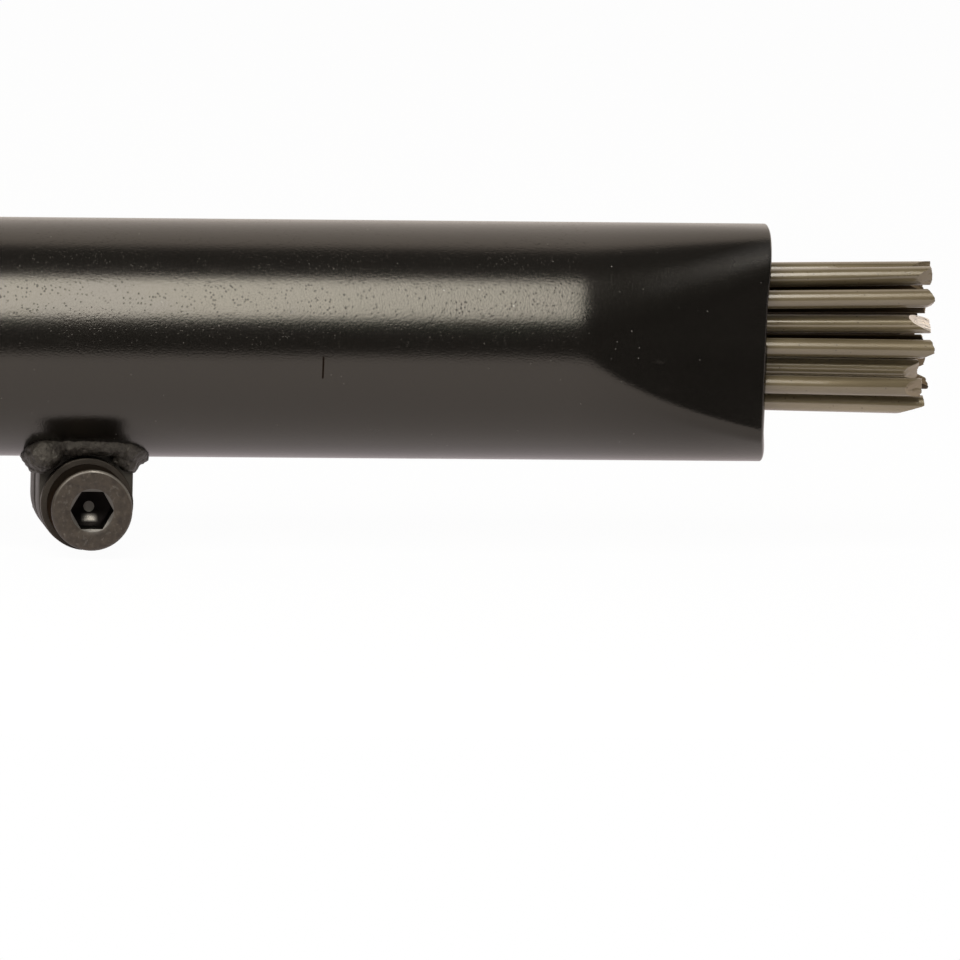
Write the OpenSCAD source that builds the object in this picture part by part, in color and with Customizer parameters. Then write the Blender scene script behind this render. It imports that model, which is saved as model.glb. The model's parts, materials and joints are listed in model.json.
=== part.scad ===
// Straight air-driven needle scaler, in millimetres.
// +X runs along the tool towards the needles, +Z is up on the lever side.
// The origin is the middle of the air inlet's mouth.

/* [Front tube] */
// Outside diameter of the front tube
tube_od = 38.1; // [36:0.1:42]
// Wall of the front tube
tube_wall = 2.1; // [1.6:0.1:2.6]
// Length of the front tube
tube_len = 128; // [115:1:145]
// Length of the flats that are pressed into the mouth
press_len = 28.5; // [22:0.5:36]
// Inside width between the flats at the mouth
mouth_width = 19.2; // [18:0.1:22]
// Outside radius of the bend where a flat begins
press_bend = 8; // [5:0.5:12]
// How far the lips of the flats are drawn back from the crown of the mouth
mouth_bow = 1.6; // [0.6:0.1:2.4]
// Turn of the flats about the tube, from the upright of the clamp, in degrees
mouth_turn = -6; // [-10:1:10]

/* [Clamp] */
// Rear end of the tube to the middle of the clamp lugs
clamp_back = 18.2; // [13:0.1:22]
// Length of a lug along the tube, and diameter of its round end
lug_len = 15; // [13.5:0.1:18]
// Thickness of a lug
lug_thick = 6.8; // [5:0.1:8]
// Gap between the lugs, and width of the slit in the tube
lug_gap = 1.6; // [1:0.1:4]
// Axis of the tube to the axis of the clamp screw
lug_drop = 25.7; // [25.5:0.1:30]
// Thread diameter of the clamp screw
screw_d = 8; // [6:1:8]
// Head diameter of the clamp screw
screw_head_d = 13; // [11:0.5:13.5]
// Key size of the socket in the clamp screw
screw_key = 6; // [4:0.5:7]

/* [Needles] */
// Diameter of a needle
needle_d = 3; // [2.6:0.1:3.3]
// Length of a needle, head and all
needle_len = 180; // [165:1:195]
// Diameter of a needle's head
needle_head_d = 4.2; // [3.8:0.1:4.4]
// Length of a needle's head
needle_head_len = 3; // [2:0.1:4]
// How far the foremost needles stand out of the mouth
needle_reach = 26.5; // [15:0.1:35]
// How far a needle's head can slip back behind its seat
needle_play = 6; // [4:0.5:8]
// Spacing of the needles in their holder
needle_pitch = 4.6; // [4.5:0.05:4.8]
// Slope of the long side of a needle's chisel tip, in degrees
tip_slope = 25; // [20:1:32]
// Slope of the short side of a needle's chisel tip, in degrees
tip_back_slope = 52; // [40:1:65]

/* [Striking parts] */
// Thickness of the holder's plate
holder_plate = 9; // [7:0.5:12]
// Travel of the holder and the anvil
holder_stroke = 8; // [5:0.5:10]
// Wire of the return spring
spring_wire = 1.8; // [1.4:0.1:2]
// Turns of the return spring
spring_turns = 9; // [7:1:10]
// Length of the anvil's collar
anvil_collar_len = 13; // [9:0.5:18]
// Diameter of the anvil's stem
anvil_stem_d = 19; // [15:0.5:21]
// Length of the piston
piston_len = 45; // [35:1:55]
// Stroke of the piston
piston_stroke = 30; // [22:1:36]

/* [Barrel] */
// Outside diameter of the barrel
barrel_od = 44; // [41:0.5:47]
// Bore that the piston runs in
piston_bore = 25; // [23:0.5:27]
// Wall of the spigot that the front tube is clamped on
spigot_wall = 2.7; // [2.2:0.1:3]
// Length of the neck that guides the anvil's stem
neck_len = 14; // [10:0.5:18]
// Travel of the front tube to the rear, when its clamp is slack
tube_back_travel = 20; // [10:1:25]
// Wall of the exhaust deflector and of the rubber sleeve
sleeve_wall = 3.5; // [3:0.1:5]
// Length of the exhaust deflector
deflector_len = 27; // [22:0.5:32]

/* [Handle] */
// Length of the handle
handle_len = 118; // [110:1:130]
// Diameter of the handle's rear collar
handle_collar_d = 40; // [38:0.5:43]
// Diameter of the grip at its slimmest
grip_d = 37; // [35:0.5:40]
// Diameter of the handle's front collar
handle_front_d = 51; // [49:0.5:54]
// Key size of the inlet bush's hexagon
inlet_key = 27; // [25:0.5:30]
// Bore of the inlet's thread
inlet_bore = 14.95; // [12:0.05:16]

/* [Throttle] */
// Pivot of the lever above the axis of the tool
lever_pivot_z = 25; // [24.5:0.5:28]
// Pivot of the lever to its nose
lever_len = 70; // [60:1:71]
// Outside width of the lever
lever_w = 18; // [16:0.5:20]
// Sheet that the lever is pressed from
lever_sheet = 2.2; // [1.6:0.1:2.8]
// Rise of the released lever, in degrees
lever_rise = 5.5; // [4:0.5:7]
// Pivot of the lever to the throttle valve's stem
valve_arm = 20; // [18:0.5:23]
// Bore of the throttle valve's chamber
valve_bore = 14; // [12:0.5:15]

/* [Hidden] */
$fn = 72;

// Fits and clearances
overrun = 1;
slide_fit = 0.05;
face_gap = 0.1;
weld_gap = 0.05;
loose_gap = 0.3;
small_chamfer = 0.8;

// Front tube and clamp
tube_r = tube_od / 2;
tube_bore_r = tube_r - tube_wall;
press_slope = atan((tube_r - mouth_width / 2 - tube_wall) / press_len);
press_steps = 6;
bow_steps = 8;
slit_past_lug = 12;
slit_end_d = 5;
lug_outer_y = lug_gap / 2 + lug_thick;
weld_r = 1.7;
weld_lift = 1.1;
weld_out = 0.8;
weld_end_r = 3.2;
weld_end_sink_share = 0.35;
screw_clear = 0.4;
screw_head_h = 8;
screw_socket_deep = 4.4;
screw_past_nut = 2.5;
washer_od = 14.8;
washer_thick = 2;
washer_slit = 1.2;
washer_slit_slant = 20;
nut_key = 13;
nut_h = 6.5;
nut_turn = 30;

// Needle bundle: five columns of needles, the same in the holder and in the mouth
column_counts = [3, 4, 5, 4, 3];
column_shares = [-0.77, -0.39, 0, 0.39, 0.77];
row_shares = [
  [0.41, -0.04, -0.39],
  [0.61, 0.18, -0.22, -0.55],
  [0.67, 0.36, 0, -0.33, -0.55],
  [0.55, 0.21, -0.17, -0.5],
  [0.4, 0.02, -0.41],
];
retreat_shares = [
  [0.08, 0.07, 0.38],
  [0.04, 0.08, 0.39, 0.24],
  [0, 0.12, 0.2, 0.04, 0.3],
  [0.1, 0.28, 0.02, 0.18],
  [0.06, 0.22, 0.12],
];
tip_turns = [
  [340, 0, 275],
  [285, 215, 300, 5],
  [262, 130, 15, 200, 290],
  [215, 95, 320, 40],
  [150, 275, 10],
];
tip_land = 0.6;
tip_edge_share = 0.25;
head_seat_gap = 0.15;
hole_clear = 0.6;

// Striking parts
skirt_wall_room = 0.5;
skirt_spare = 0.4;
spring_seat_gap = 0.2;
spring_side_gap = 0.3;
spring_end_gap = 0.5;
spring_sides = 6;
spring_rings = 8;
retainer_len = 5;
retainer_wall = 2.1;
retainer_slot_w = 4;
retainer_slot_deep = 2;
spigot_past_lug = 21;
buffer_len = 3.4;
buffer_wall = 3;
anvil_stem_stand = 2.4;
anvil_dish_share = 0.7;
anvil_dish_deep = 0.5;
piston_rear_room = 5;
piston_groove_w = 2;
piston_groove_deep = 0.6;
piston_groove_count = 3;
piston_groove_pitch = 6;

// Barrel and what is on it
barrel_thread_d = 36;
barrel_thread_len = 16;
barrel_edge = 1.5;
barrel_flat_deep = 2;
barrel_flat_len = 13;
barrel_flat_back = 3;
port_d = 6;
port_count = 6;
seal_wire = 2.4;
seal_squash = 0.1;
seal_back = 4;
deflector_back = 20;
deflector_relief_share = 0.5;
deflector_relief_deep = 1.6;
deflector_slot_w = 4;
deflector_slot_count = 7;
deflector_slot_turn = 22;
deflector_slot_share = 0.36;
slot_end_steps = 6;
ring_wire = 2;
ring_bite = 0.9;
ring_gap_turn = 24;
grip_after_ring = 3;
grip_before_shoulder = 4;
grip_rib_count = 7;
grip_rib_deep = 1.2;
grip_rib_share = 0.45;

// Valve box
valve_seat_len = 8;
valve_cover_len = 9.6;
valve_disc_od = 22;
valve_disc_id = 9;
valve_disc_thick = 1.6;
valve_disc_travel = 1.8;
valve_feed_d = 7;
valve_port_d = 3.2;
valve_port_circle = 15;
valve_port_count = 6;

// Handle and inlet
inlet_hex_len = 12;
inlet_thread_d = 22;
inlet_thread_len = 14;
inlet_bore_len = 16;
screen_seat_step = 1.2;
screen_seat_len = 1.2;
inlet_passage_d = 10.5;
inlet_seal_wire = 2;
screen_flange = 1;
screen_wall = 0.8;
screen_len = 7;
screen_hole_d = 1.4;
screen_hole_count = 8;
screen_hole_pitch = 2.2;
handle_edge = 1.6;
collar_len = 24;
collar_fall = 7;
grip_swell = 1.6;
grip_steps = 10;
front_collar_len = 26;
front_collar_rise = 12;
groove_count = 5;
groove_share = 0.38;
groove_deep = 0.7;
groove_after_boss = 5;
flute_count = 8;
flute_d = 7;
flute_deep = 1.4;
feed_d = 7;
feed_z = 8.5;
supply_d = 9;
supply_z = -5;

// Lever and throttle valve
pivot_back = 12;
boss_r = 5.5;
boss_side_gap = 0.3;
lever_roof = 6;
lever_rear_r = 5.4;
lever_nose_drop = 0;
pin_d = 4;
pin_head_d = 6.6;
pin_head_len = 1.4;
pin_clip_d = 7;
pin_clip_thick = 1;
pin_past_clip = 1.2;
pin_groove_d = 3.2;
stem_d = 5;
stem_bush_d = 9;
stem_bush_stand = 4;
stem_bush_flange_d = 12;
stem_bush_flange = 1.5;
stem_bush_deep = 7;
stem_boss_d = 13;
poppet_d = 11;
poppet_len = 4;
valve_seat_z = 2;
valve_port_bore = 8.4;
valve_spring_wire = 1;
valve_spring_d = 9;
valve_spring_turns = 4;
cap_flange_d = 17;
cap_flange = 2;
cap_washer = 1;
cap_deep = 4;
cap_key = 6;
cap_spigot_d = 5.5;
cap_spigot_len = 3;

// Stations along the tool, from the inlet forward
handle_x0 = inlet_hex_len;
handle_x1 = handle_x0 + handle_len;
barrel_x0 = handle_x1 - barrel_thread_len;
cover_x0 = barrel_x0 - face_gap - valve_cover_len;
seat_block_x0 = cover_x0 - face_gap - valve_seat_len;
handle_bore_x0 = seat_block_x0 - face_gap;
neck_x0 = barrel_x0 + piston_rear_room + piston_stroke + piston_len + anvil_stem_stand;
neck_x1 = neck_x0 + neck_len;
anvil_x0 = neck_x1 + buffer_len + 2 * face_gap;
anvil_x1 = anvil_x0 + anvil_collar_len;
holder_x0 = anvil_x1 + face_gap;
seat_x = holder_x0 + needle_play + needle_head_len + skirt_spare;
holder_x1 = seat_x + holder_plate;
tip_x = seat_x - head_seat_gap + needle_len - needle_head_len;
mouth_x = tip_x - needle_reach;
tube_x0 = mouth_x - tube_len;
lug_x = tube_x0 + clamp_back;
spigot_x1 = lug_x + spigot_past_lug;
retainer_x0 = spigot_x1 - retainer_len;
shoulder_x = tube_x0 - tube_back_travel - face_gap;
deflector_x0 = handle_x1 + deflector_back;
deflector_x1 = deflector_x0 + deflector_len;
ring_x = deflector_x1 + loose_gap + ring_wire / 2;
grip_x0 = ring_x + ring_wire / 2 + grip_after_ring;
grip_x1 = shoulder_x - grip_before_shoulder;
port_x = (deflector_x0 + deflector_x1) / 2;
pivot_x = handle_x0 + pivot_back;
valve_x = pivot_x + valve_arm;

// Sizes that fit one piece to another
sleeve_od = barrel_od + 2 * sleeve_wall;
spigot_r = tube_bore_r - slide_fit;
front_bore_r = spigot_r - spigot_wall;
holder_r = front_bore_r - slide_fit;
skirt_bore_r = 2 * needle_pitch + needle_head_d / 2 + skirt_wall_room;
stem_top_z = lever_pivot_z + lever_roof / cos(lever_rise) + valve_arm * tan(lever_rise) - loose_gap;
cap_face_z = -grip_d / 2 + cap_flange + cap_washer;
cap_top_z = cap_face_z + cap_deep;
poppet_z0 = valve_seat_z - face_gap - poppet_len;
bush_top_z = grip_d / 2 + stem_bush_stand;
bush_base_z = bush_top_z - stem_bush_flange - stem_bush_deep;

function needle_name(n) = str("needle_", n < 10 ? "0" : "", n);

// Shapes that repeat

// A solid turned about the tool's axis from an outline of [x, radius] points
module turned(outline) {
  rotate([0, 90, 0]) rotate_extrude() polygon([for (p = outline) [p[1], p[0]]]);
}

// A round bar along X, from x0 to x1
module bar_x(d, x0, x1) {
  translate([x0, 0, 0]) rotate([0, 90, 0]) cylinder(d = d, h = x1 - x0);
}

// A round bar along Y, from y0 to y1
module bar_y(d, y0, y1) {
  translate([0, y0, 0]) rotate([-90, 0, 0]) cylinder(d = d, h = y1 - y0);
}

// A round bar along Z, from z0 to z1
module bar_z(d, z0, z1) {
  translate([0, 0, z0]) cylinder(d = d, h = z1 - z0);
}

// A hexagon of a key size, along Z from z0 to z1
module hex_z(key, z0, z1) {
  translate([0, 0, z0]) cylinder(d = key / cos(30), h = z1 - z0, $fn = 6);
}

// A slot with round ends, seen from above
module slot_outline(length, width) {
  polygon([
    for (end = [1, -1], i = [0:slot_end_steps])
      let (a = (end > 0 ? -90 : 90) + 180 * i / slot_end_steps)
      [end * length / 2 + width / 2 * cos(a), width / 2 * sin(a)]
  ]);
}

// A plain ring about X
module ring_x(outer_r, inner_r, x0, x1) {
  turned([[x0, inner_r], [x1, inner_r], [x1, outer_r], [x0, outer_r]]);
}

// A round-section ring about X
module wire_ring_x(middle_r, wire, x) {
  translate([x, 0, 0]) rotate([0, 90, 0]) rotate_extrude() translate([middle_r, 0]) circle(d = wire);
}

// Height along a closed-end spring at a share of its turns
function spring_height(share, length, wire, turns) =
  let (end_pitch = wire + spring_end_gap,
       turn = share * turns,
       middle_pitch = (length - wire - 2 * end_pitch) / (turns - 2))
  wire / 2 + (turn < 1 ? turn * end_pitch
    : turn > turns - 1 ? length - wire - (turns - turn) * end_pitch
    : end_pitch + (turn - 1) * middle_pitch);

// The middle of the wire at ring i
function spring_point(i, middle_r, wire, length, turns) = [
  middle_r * cos(360 * i / spring_rings), middle_r * sin(360 * i / spring_rings),
  spring_height(i / (turns * spring_rings), length, wire, turns),
];

// The least gap between one turn and the next, measured on the rings
function spring_least_gap(middle_r, wire, length, turns) =
  min([for (i = [0:(turns - 1) * spring_rings])
    norm(spring_point(i + spring_rings, middle_r, wire, length, turns)
      - spring_point(i, middle_r, wire, length, turns))]) - wire;

// A compression spring of round wire that stands on z = 0
module spring(middle_r, wire, length, turns) {
  echo(spring_least_gap = spring_least_gap(middle_r, wire, length, turns));
  rings = turns * spring_rings;
  points = [
    for (i = [0:rings], k = [0:spring_sides - 1])
      let (turn = 360 * i / spring_rings, side = 360 * k / spring_sides,
           r = middle_r + wire / 2 * cos(side))
      [r * cos(turn), r * sin(turn), spring_height(i / rings, length, wire, turns) + wire / 2 * sin(side)]
  ];
  walls = [
    for (i = [0:rings - 1], k = [0:spring_sides - 1])
      let (a = i * spring_sides + k, b = i * spring_sides + (k + 1) % spring_sides)
      each [[a, a + spring_sides, b], [b, a + spring_sides, b + spring_sides]]
  ];
  ends = [
    for (k = [1:spring_sides - 2])
      each [[0, k, k + 1], [rings * spring_sides, rings * spring_sides + k + 1, rings * spring_sides + k]]
  ];
  polyhedron(points, concat(walls, ends));
}

// Front tube

// One side of the pressed mouth seen from above, as [x, y] points from the bend to the lip
function flat_side(inset, past) =
  let (bend_x = mouth_x - press_len - press_bend * tan(press_slope / 2),
       bend_r = press_bend - inset,
       last = [bend_x + bend_r * sin(press_slope), tube_r - press_bend + bend_r * cos(press_slope)])
  concat(
    [for (i = [1:press_steps])
      let (a = press_slope * i / press_steps)
      [bend_x + bend_r * sin(a), tube_r - press_bend + bend_r * cos(a)]],
    [[mouth_x + past, last[1] - (mouth_x + past - last[0]) * tan(press_slope)]]);

// The whole pressed shape seen from above, with its bowed end
module pressed_outline(inset, x0, past) {
  side = flat_side(inset, past);
  wide = tube_od;
  lip = side[len(side) - 1];
  rise = (side[0][1] - side[1][1]) / (side[1][0] - side[0][0]) / 2;
  start = [side[0][0] - (wide - side[0][1]) / rise, wide];
  bow = past > 0 ? [] : [
    for (i = [-bow_steps:bow_steps])
      let (share = i / bow_steps) [mouth_x - mouth_bow * share * share, -lip[1] * share]
  ];
  half = [for (i = [0:len(side) - (past > 0 ? 1 : 2)]) side[i]];
  polygon(concat(
    [[min(x0, start[0]), wide], start], half, bow,
    [for (i = [len(half) - 1:-1:0]) [half[i][0], -half[i][1]]],
    [[start[0], -wide], [min(x0, start[0]), -wide]]));
}

// The round tube with the two flats pressed into its front end
module pressed_bar(r, inset, x0, past) {
  intersection() {
    bar_x(2 * r, x0, mouth_x + past);
    rotate([mouth_turn, 0, 0]) translate([0, 0, -tube_od])
      linear_extrude(2 * tube_od) pressed_outline(inset, x0 - tube_od, past);
  }
}

module front_tube() {
  slit_end = lug_x + lug_len / 2 + slit_past_lug;
  color("#1d1b1a") difference() {
    pressed_bar(tube_r, 0, tube_x0, 0);
    pressed_bar(tube_bore_r, tube_wall, tube_x0 - overrun, overrun);
    translate([tube_x0 - overrun, -lug_gap / 2, -tube_od])
      cube([slit_end - tube_x0 + overrun, lug_gap, tube_od]);
    translate([slit_end, 0, 0]) bar_z(slit_end_d, -tube_od, 0);
  }
}

// Clamp

// A lug with a round end, whose outer face is at y = side * lug_outer_y
module lug(side) {
  y0 = side > 0 ? lug_gap / 2 : -lug_outer_y;
  color("#201e1c") translate([lug_x, 0, 0]) difference() {
    union() {
      translate([-lug_len / 2, y0, -lug_drop]) cube([lug_len, lug_thick, lug_drop - tube_bore_r]);
      translate([0, 0, -lug_drop]) bar_y(lug_len, y0, y0 + lug_thick);
    }
    bar_x(tube_od + 2 * weld_gap, -lug_len, lug_len);
    translate([0, 0, -lug_drop]) bar_y(screw_d + screw_clear, y0 - overrun, y0 + lug_thick + overrun);
  }
}

module near_lug() {
  lug(-1);
}

module far_lug() {
  lug(1);
}

// A bead along each lug's outer edge, in the corner that it makes with the tube, with a blob at each end
module lug_welds() {
  joint_z = -sqrt(tube_r * tube_r - lug_outer_y * lug_outer_y);
  blob_y = lug_outer_y - weld_end_sink_share * lug_thick;
  color("#2b2927") for (side = [-1, 1])
    difference() {
      translate([lug_x, 0, joint_z]) {
        translate([0, side * (lug_outer_y + weld_out), weld_lift])
          bar_x(2 * weld_r, -lug_len / 2, lug_len / 2);
        for (end = [-1, 1]) translate([end * lug_len / 2, side * blob_y, 0]) sphere(r = weld_end_r);
      }
      bar_x(tube_od + 2 * weld_gap, tube_x0, mouth_x);
      translate([lug_x - lug_len / 2 - weld_gap, -lug_outer_y - weld_gap, -2 * lug_drop])
        cube([lug_len + 2 * weld_gap, 2 * (lug_outer_y + weld_gap), 2 * lug_drop]);
    }
}

// Faces of the pieces on the clamp screw, from the near lug outward
washer_face_y = -lug_outer_y - face_gap - washer_thick;
head_face_y = washer_face_y - face_gap - screw_head_h;
nut_face_y = lug_outer_y + face_gap + nut_h;

module clamp_screw() {
  length = nut_face_y + screw_past_nut - head_face_y;
  shank = screw_d / 2 - slide_fit;
  color("#2a2826") translate([lug_x, head_face_y, -lug_drop]) rotate([-90, 0, 0]) difference() {
    rotate_extrude() polygon([
      [0, 0], [screw_head_d / 2 - small_chamfer, 0], [screw_head_d / 2, small_chamfer],
      [screw_head_d / 2, screw_head_h], [shank, screw_head_h],
      [shank, length - small_chamfer], [shank - small_chamfer, length], [0, length],
    ]);
    hex_z(screw_key, -overrun, screw_socket_deep);
    translate([0, 0, screw_socket_deep])
      cylinder(d1 = screw_key, d2 = 0, h = screw_key / 2 * tan(30));
  }
}

module lock_washer() {
  color("#242220") translate([lug_x, washer_face_y, -lug_drop]) rotate([-90, 0, 0]) difference() {
    bar_z(washer_od, 0, washer_thick);
    bar_z(screw_d + screw_clear / 2, -overrun, washer_thick + overrun);
    rotate([0, washer_slit_slant, 0])
      translate([-washer_slit / 2, 0, -washer_od]) cube([washer_slit, washer_od, 2 * washer_od]);
  }
}

module clamp_nut() {
  color("#2a2826") translate([lug_x, nut_face_y - nut_h, -lug_drop]) rotate([-90, 0, 0]) difference() {
    intersection() {
      rotate([0, 0, nut_turn]) hex_z(nut_key, 0, nut_h);
      rotate_extrude() polygon([
        [0, 0], [nut_key / 2, 0], [nut_key / 2 + small_chamfer, small_chamfer],
        [nut_key / 2 + small_chamfer, nut_h - small_chamfer], [nut_key / 2, nut_h], [0, nut_h],
      ]);
    }
    bar_z(screw_d, -overrun, nut_h + overrun);
  }
}

// Needles

// Every needle as [column, row], in the order of its number
function needle_list() = [for (c = [0:len(column_counts) - 1], r = [0:column_counts[c] - 1]) [c, r]];

// Where a needle passes the holder's plate, as [y, z] in the frame of the flats
function holder_place(c, r) = [
  (c - (len(column_counts) - 1) / 2) * needle_pitch * cos(30),
  ((column_counts[c] - 1) / 2 - r) * needle_pitch,
];

// Where a needle passes the mouth, as [y, z] in the frame of the flats
function mouth_place(c, r) = [column_shares[c] * mouth_width / 2, row_shares[c][r] * tube_bore_r];

// The direction that a needle slides in, in the frame of the flats
function needle_way(c, r) =
  let (d = mouth_place(c, r) - holder_place(c, r),
       v = [mouth_x - (seat_x + holder_x1) / 2, d[0], d[1]])
  v / norm(v);

// The same direction in the frame of the tool
function turned_way(v) = [
  v[0], v[1] * cos(mouth_turn) - v[2] * sin(mouth_turn), v[1] * sin(mouth_turn) + v[2] * cos(mouth_turn),
];

// A needle that lies along X, with the seat of its head at x = 0
module needle_blank() {
  r = needle_d / 2;
  length = needle_len - needle_head_len;
  past = r + overrun;
  edge = tip_edge_share * needle_d;
  intersection() {
    bar_x(needle_d, -overrun, length);
    rotate([90, 0, 0]) linear_extrude(2 * past, center = true) polygon([
      [-overrun, past], [length - (past - edge - tip_land / 2) / tan(tip_back_slope), past],
      [length, edge + tip_land / 2], [length, edge - tip_land / 2],
      [length - (past + edge - tip_land / 2) / tan(tip_slope), -past], [-overrun, -past],
    ]);
  }
  bar_x(needle_head_d, -needle_head_len, 0);
}

module needle(n) {
  c = needle_list()[n - 1][0];
  r = needle_list()[n - 1][1];
  way = needle_way(c, r);
  place = holder_place(c, r);
  back = head_seat_gap + retreat_shares[c][r] * needle_play;
  color("#a39a86") rotate([mouth_turn, 0, 0])
    translate([(seat_x + holder_x1) / 2, place[0], place[1]]
      - way * ((holder_plate / 2) / way[0] + back))
    rotate([tip_turns[c][r], -asin(way[2]), atan2(way[1], way[0])])
    needle_blank();
}

// Striking parts

module needle_holder() {
  color("#5b5a58") difference() {
    turned([
      [holder_x0, skirt_bore_r], [seat_x, skirt_bore_r], [seat_x, 0], [holder_x1, 0],
      [holder_x1, holder_r - small_chamfer], [holder_x1 - small_chamfer, holder_r], [holder_x0, holder_r],
    ]);
    rotate([mouth_turn, 0, 0]) for (p = needle_list())
      let (place = holder_place(p[0], p[1]))
      translate([0, place[0], place[1]]) bar_x(needle_d + hole_clear, seat_x - overrun, holder_x1 + overrun);
  }
}

module return_spring() {
  length = retainer_x0 - holder_x1 - 2 * spring_seat_gap;
  color("#6d6a64") translate([holder_x1 + spring_seat_gap, 0, 0]) rotate([0, 90, 0])
    spring(front_bore_r - spring_side_gap - spring_wire / 2, spring_wire, length, spring_turns);
}

module spring_retainer() {
  outer = front_bore_r - slide_fit;
  color("#4a4846") difference() {
    ring_x(outer, outer - retainer_wall, retainer_x0, spigot_x1);
    translate([spigot_x1 - retainer_slot_deep, -retainer_slot_w / 2, -tube_od])
      cube([retainer_slot_deep + overrun, retainer_slot_w, 2 * tube_od]);
  }
}

module anvil() {
  stem_x0 = neck_x0 - anvil_stem_stand;
  stem_r = anvil_stem_d / 2;
  dish_r = anvil_dish_share * holder_r;
  color("#8b8983") turned([
    [stem_x0, 0], [stem_x0, stem_r - small_chamfer], [stem_x0 + small_chamfer, stem_r],
    [anvil_x0, stem_r], [anvil_x0, holder_r - small_chamfer], [anvil_x0 + small_chamfer, holder_r],
    [anvil_x1, holder_r], [anvil_x1, dish_r], [anvil_x1 - anvil_dish_deep, dish_r - anvil_dish_deep],
    [anvil_x1 - anvil_dish_deep, 0],
  ]);
}

module anvil_buffer() {
  inner = anvil_stem_d / 2 + loose_gap;
  color("#8c5a2b") ring_x(inner + buffer_wall, inner, neck_x1 + face_gap, neck_x1 + face_gap + buffer_len);
}

module piston() {
  x1 = neck_x0 - anvil_stem_stand - face_gap;
  x0 = x1 - piston_len;
  r = piston_bore / 2 - slide_fit;
  color("#94918a") difference() {
    turned([
      [x0, 0], [x0, r - small_chamfer], [x0 + small_chamfer, r],
      [x1 - small_chamfer, r], [x1, r - small_chamfer], [x1, 0],
    ]);
    for (i = [0:piston_groove_count - 1])
      let (x = (x0 + x1) / 2 + (i - (piston_groove_count - 1) / 2) * piston_groove_pitch)
      ring_x(r + overrun, r - piston_groove_deep, x - piston_groove_w / 2, x + piston_groove_w / 2);
  }
}

// Barrel and what is on it

seal_groove_deep = seal_wire - seal_squash;

module barrel() {
  outer = barrel_od / 2;
  thread = barrel_thread_d / 2 - slide_fit;
  color("#232120") difference() {
    turned([
      [barrel_x0, piston_bore / 2], [barrel_x0, thread], [handle_x1 + face_gap, thread],
      [handle_x1 + face_gap, outer - barrel_edge], [handle_x1 + face_gap + barrel_edge, outer],
      [shoulder_x - barrel_edge, outer], [shoulder_x, outer - barrel_edge],
      [shoulder_x, spigot_r], [spigot_x1 - small_chamfer, spigot_r], [spigot_x1, spigot_r - small_chamfer],
      [spigot_x1, front_bore_r], [neck_x1, front_bore_r], [neck_x1, anvil_stem_d / 2 + slide_fit],
      [neck_x0, anvil_stem_d / 2 + slide_fit], [neck_x0, piston_bore / 2],
    ]);
    for (i = [0:port_count - 1])
      rotate([360 * i / port_count, 0, 0]) translate([port_x, 0, 0]) bar_z(port_d, 0, barrel_od);
    for (side = [0, 1])
      mirror([0, side, 0]) translate([handle_x1 + barrel_flat_back, outer - barrel_flat_deep, -barrel_od])
        cube([barrel_flat_len, barrel_od, 2 * barrel_od]);
    ring_x(barrel_od, barrel_thread_d / 2 - seal_groove_deep,
      barrel_x0 + seal_back - seal_wire / 2 - face_gap, barrel_x0 + seal_back + seal_wire / 2 + face_gap);
    wire_ring_x(outer + ring_wire / 2 - ring_bite, ring_wire + face_gap, ring_x);
    for (x = deflector_seal_places())
      ring_x(barrel_od, outer - seal_groove_deep, x - seal_wire / 2 - face_gap, x + seal_wire / 2 + face_gap);
  }
}

// The two seals that hold the deflector stand between its ends and its relief
function deflector_seal_places() =
  let (land = deflector_len * (1 - deflector_relief_share) / 4)
  [deflector_x0 + land, deflector_x1 - land];

// A seal in a groove that is cut into a bar of radius r
module groove_seal(r, x) {
  wire = seal_wire - 2 * face_gap;
  color("#151515") wire_ring_x(r - slide_fit - wire / 2, wire, x);
}

module barrel_seal() {
  groove_seal(barrel_thread_d / 2, barrel_x0 + seal_back);
}

module deflector_seals() {
  for (x = deflector_seal_places()) groove_seal(barrel_od / 2, x);
}

module exhaust_deflector() {
  inner = barrel_od / 2 + 2 * slide_fit;
  outer = sleeve_od / 2;
  relief = deflector_len * deflector_relief_share / 2;
  slot_len = deflector_len * deflector_slot_share;
  color("#2d2b29") difference() {
    turned([
      [deflector_x0, inner], [port_x - relief, inner], [port_x - relief, inner + deflector_relief_deep],
      [port_x + relief, inner + deflector_relief_deep], [port_x + relief, inner], [deflector_x1, inner],
      [deflector_x1, outer - barrel_edge], [deflector_x1 - barrel_edge, outer],
      [deflector_x0 + barrel_edge, outer], [deflector_x0, outer - barrel_edge],
    ]);
    for (i = [0:deflector_slot_count - 1])
      rotate([90 + (i - (deflector_slot_count - 1) / 2) * deflector_slot_turn, 0, 0])
        translate([port_x, 0, 0]) linear_extrude(sleeve_od) slot_outline(slot_len, deflector_slot_w);
  }
}

// A snap ring, open by a small angle at the top
module deflector_ring() {
  color("#6d6a64") translate([ring_x, 0, 0]) rotate([0, 90, 0])
    rotate([0, 0, 180 + ring_gap_turn / 2]) rotate_extrude(angle = 360 - ring_gap_turn)
    translate([barrel_od / 2 + ring_wire / 2 - ring_bite, 0]) circle(d = ring_wire);
}

module barrel_grip() {
  inner = barrel_od / 2 + slide_fit;
  outer = sleeve_od / 2;
  rib_pitch = (grip_x1 - grip_x0 - 2 * barrel_edge) / (grip_rib_count + 1 - grip_rib_share);
  color("#171717") difference() {
    turned([
      [grip_x0, inner], [grip_x1, inner], [grip_x1, outer - barrel_edge], [grip_x1 - barrel_edge, outer],
      [grip_x0 + barrel_edge, outer], [grip_x0, outer - barrel_edge],
    ]);
    for (i = [1:grip_rib_count])
      let (x = grip_x0 + barrel_edge + i * rib_pitch)
      ring_x(outer + overrun, outer - grip_rib_deep, x - grip_rib_share * rib_pitch, x);
  }
}

// Valve box

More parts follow.
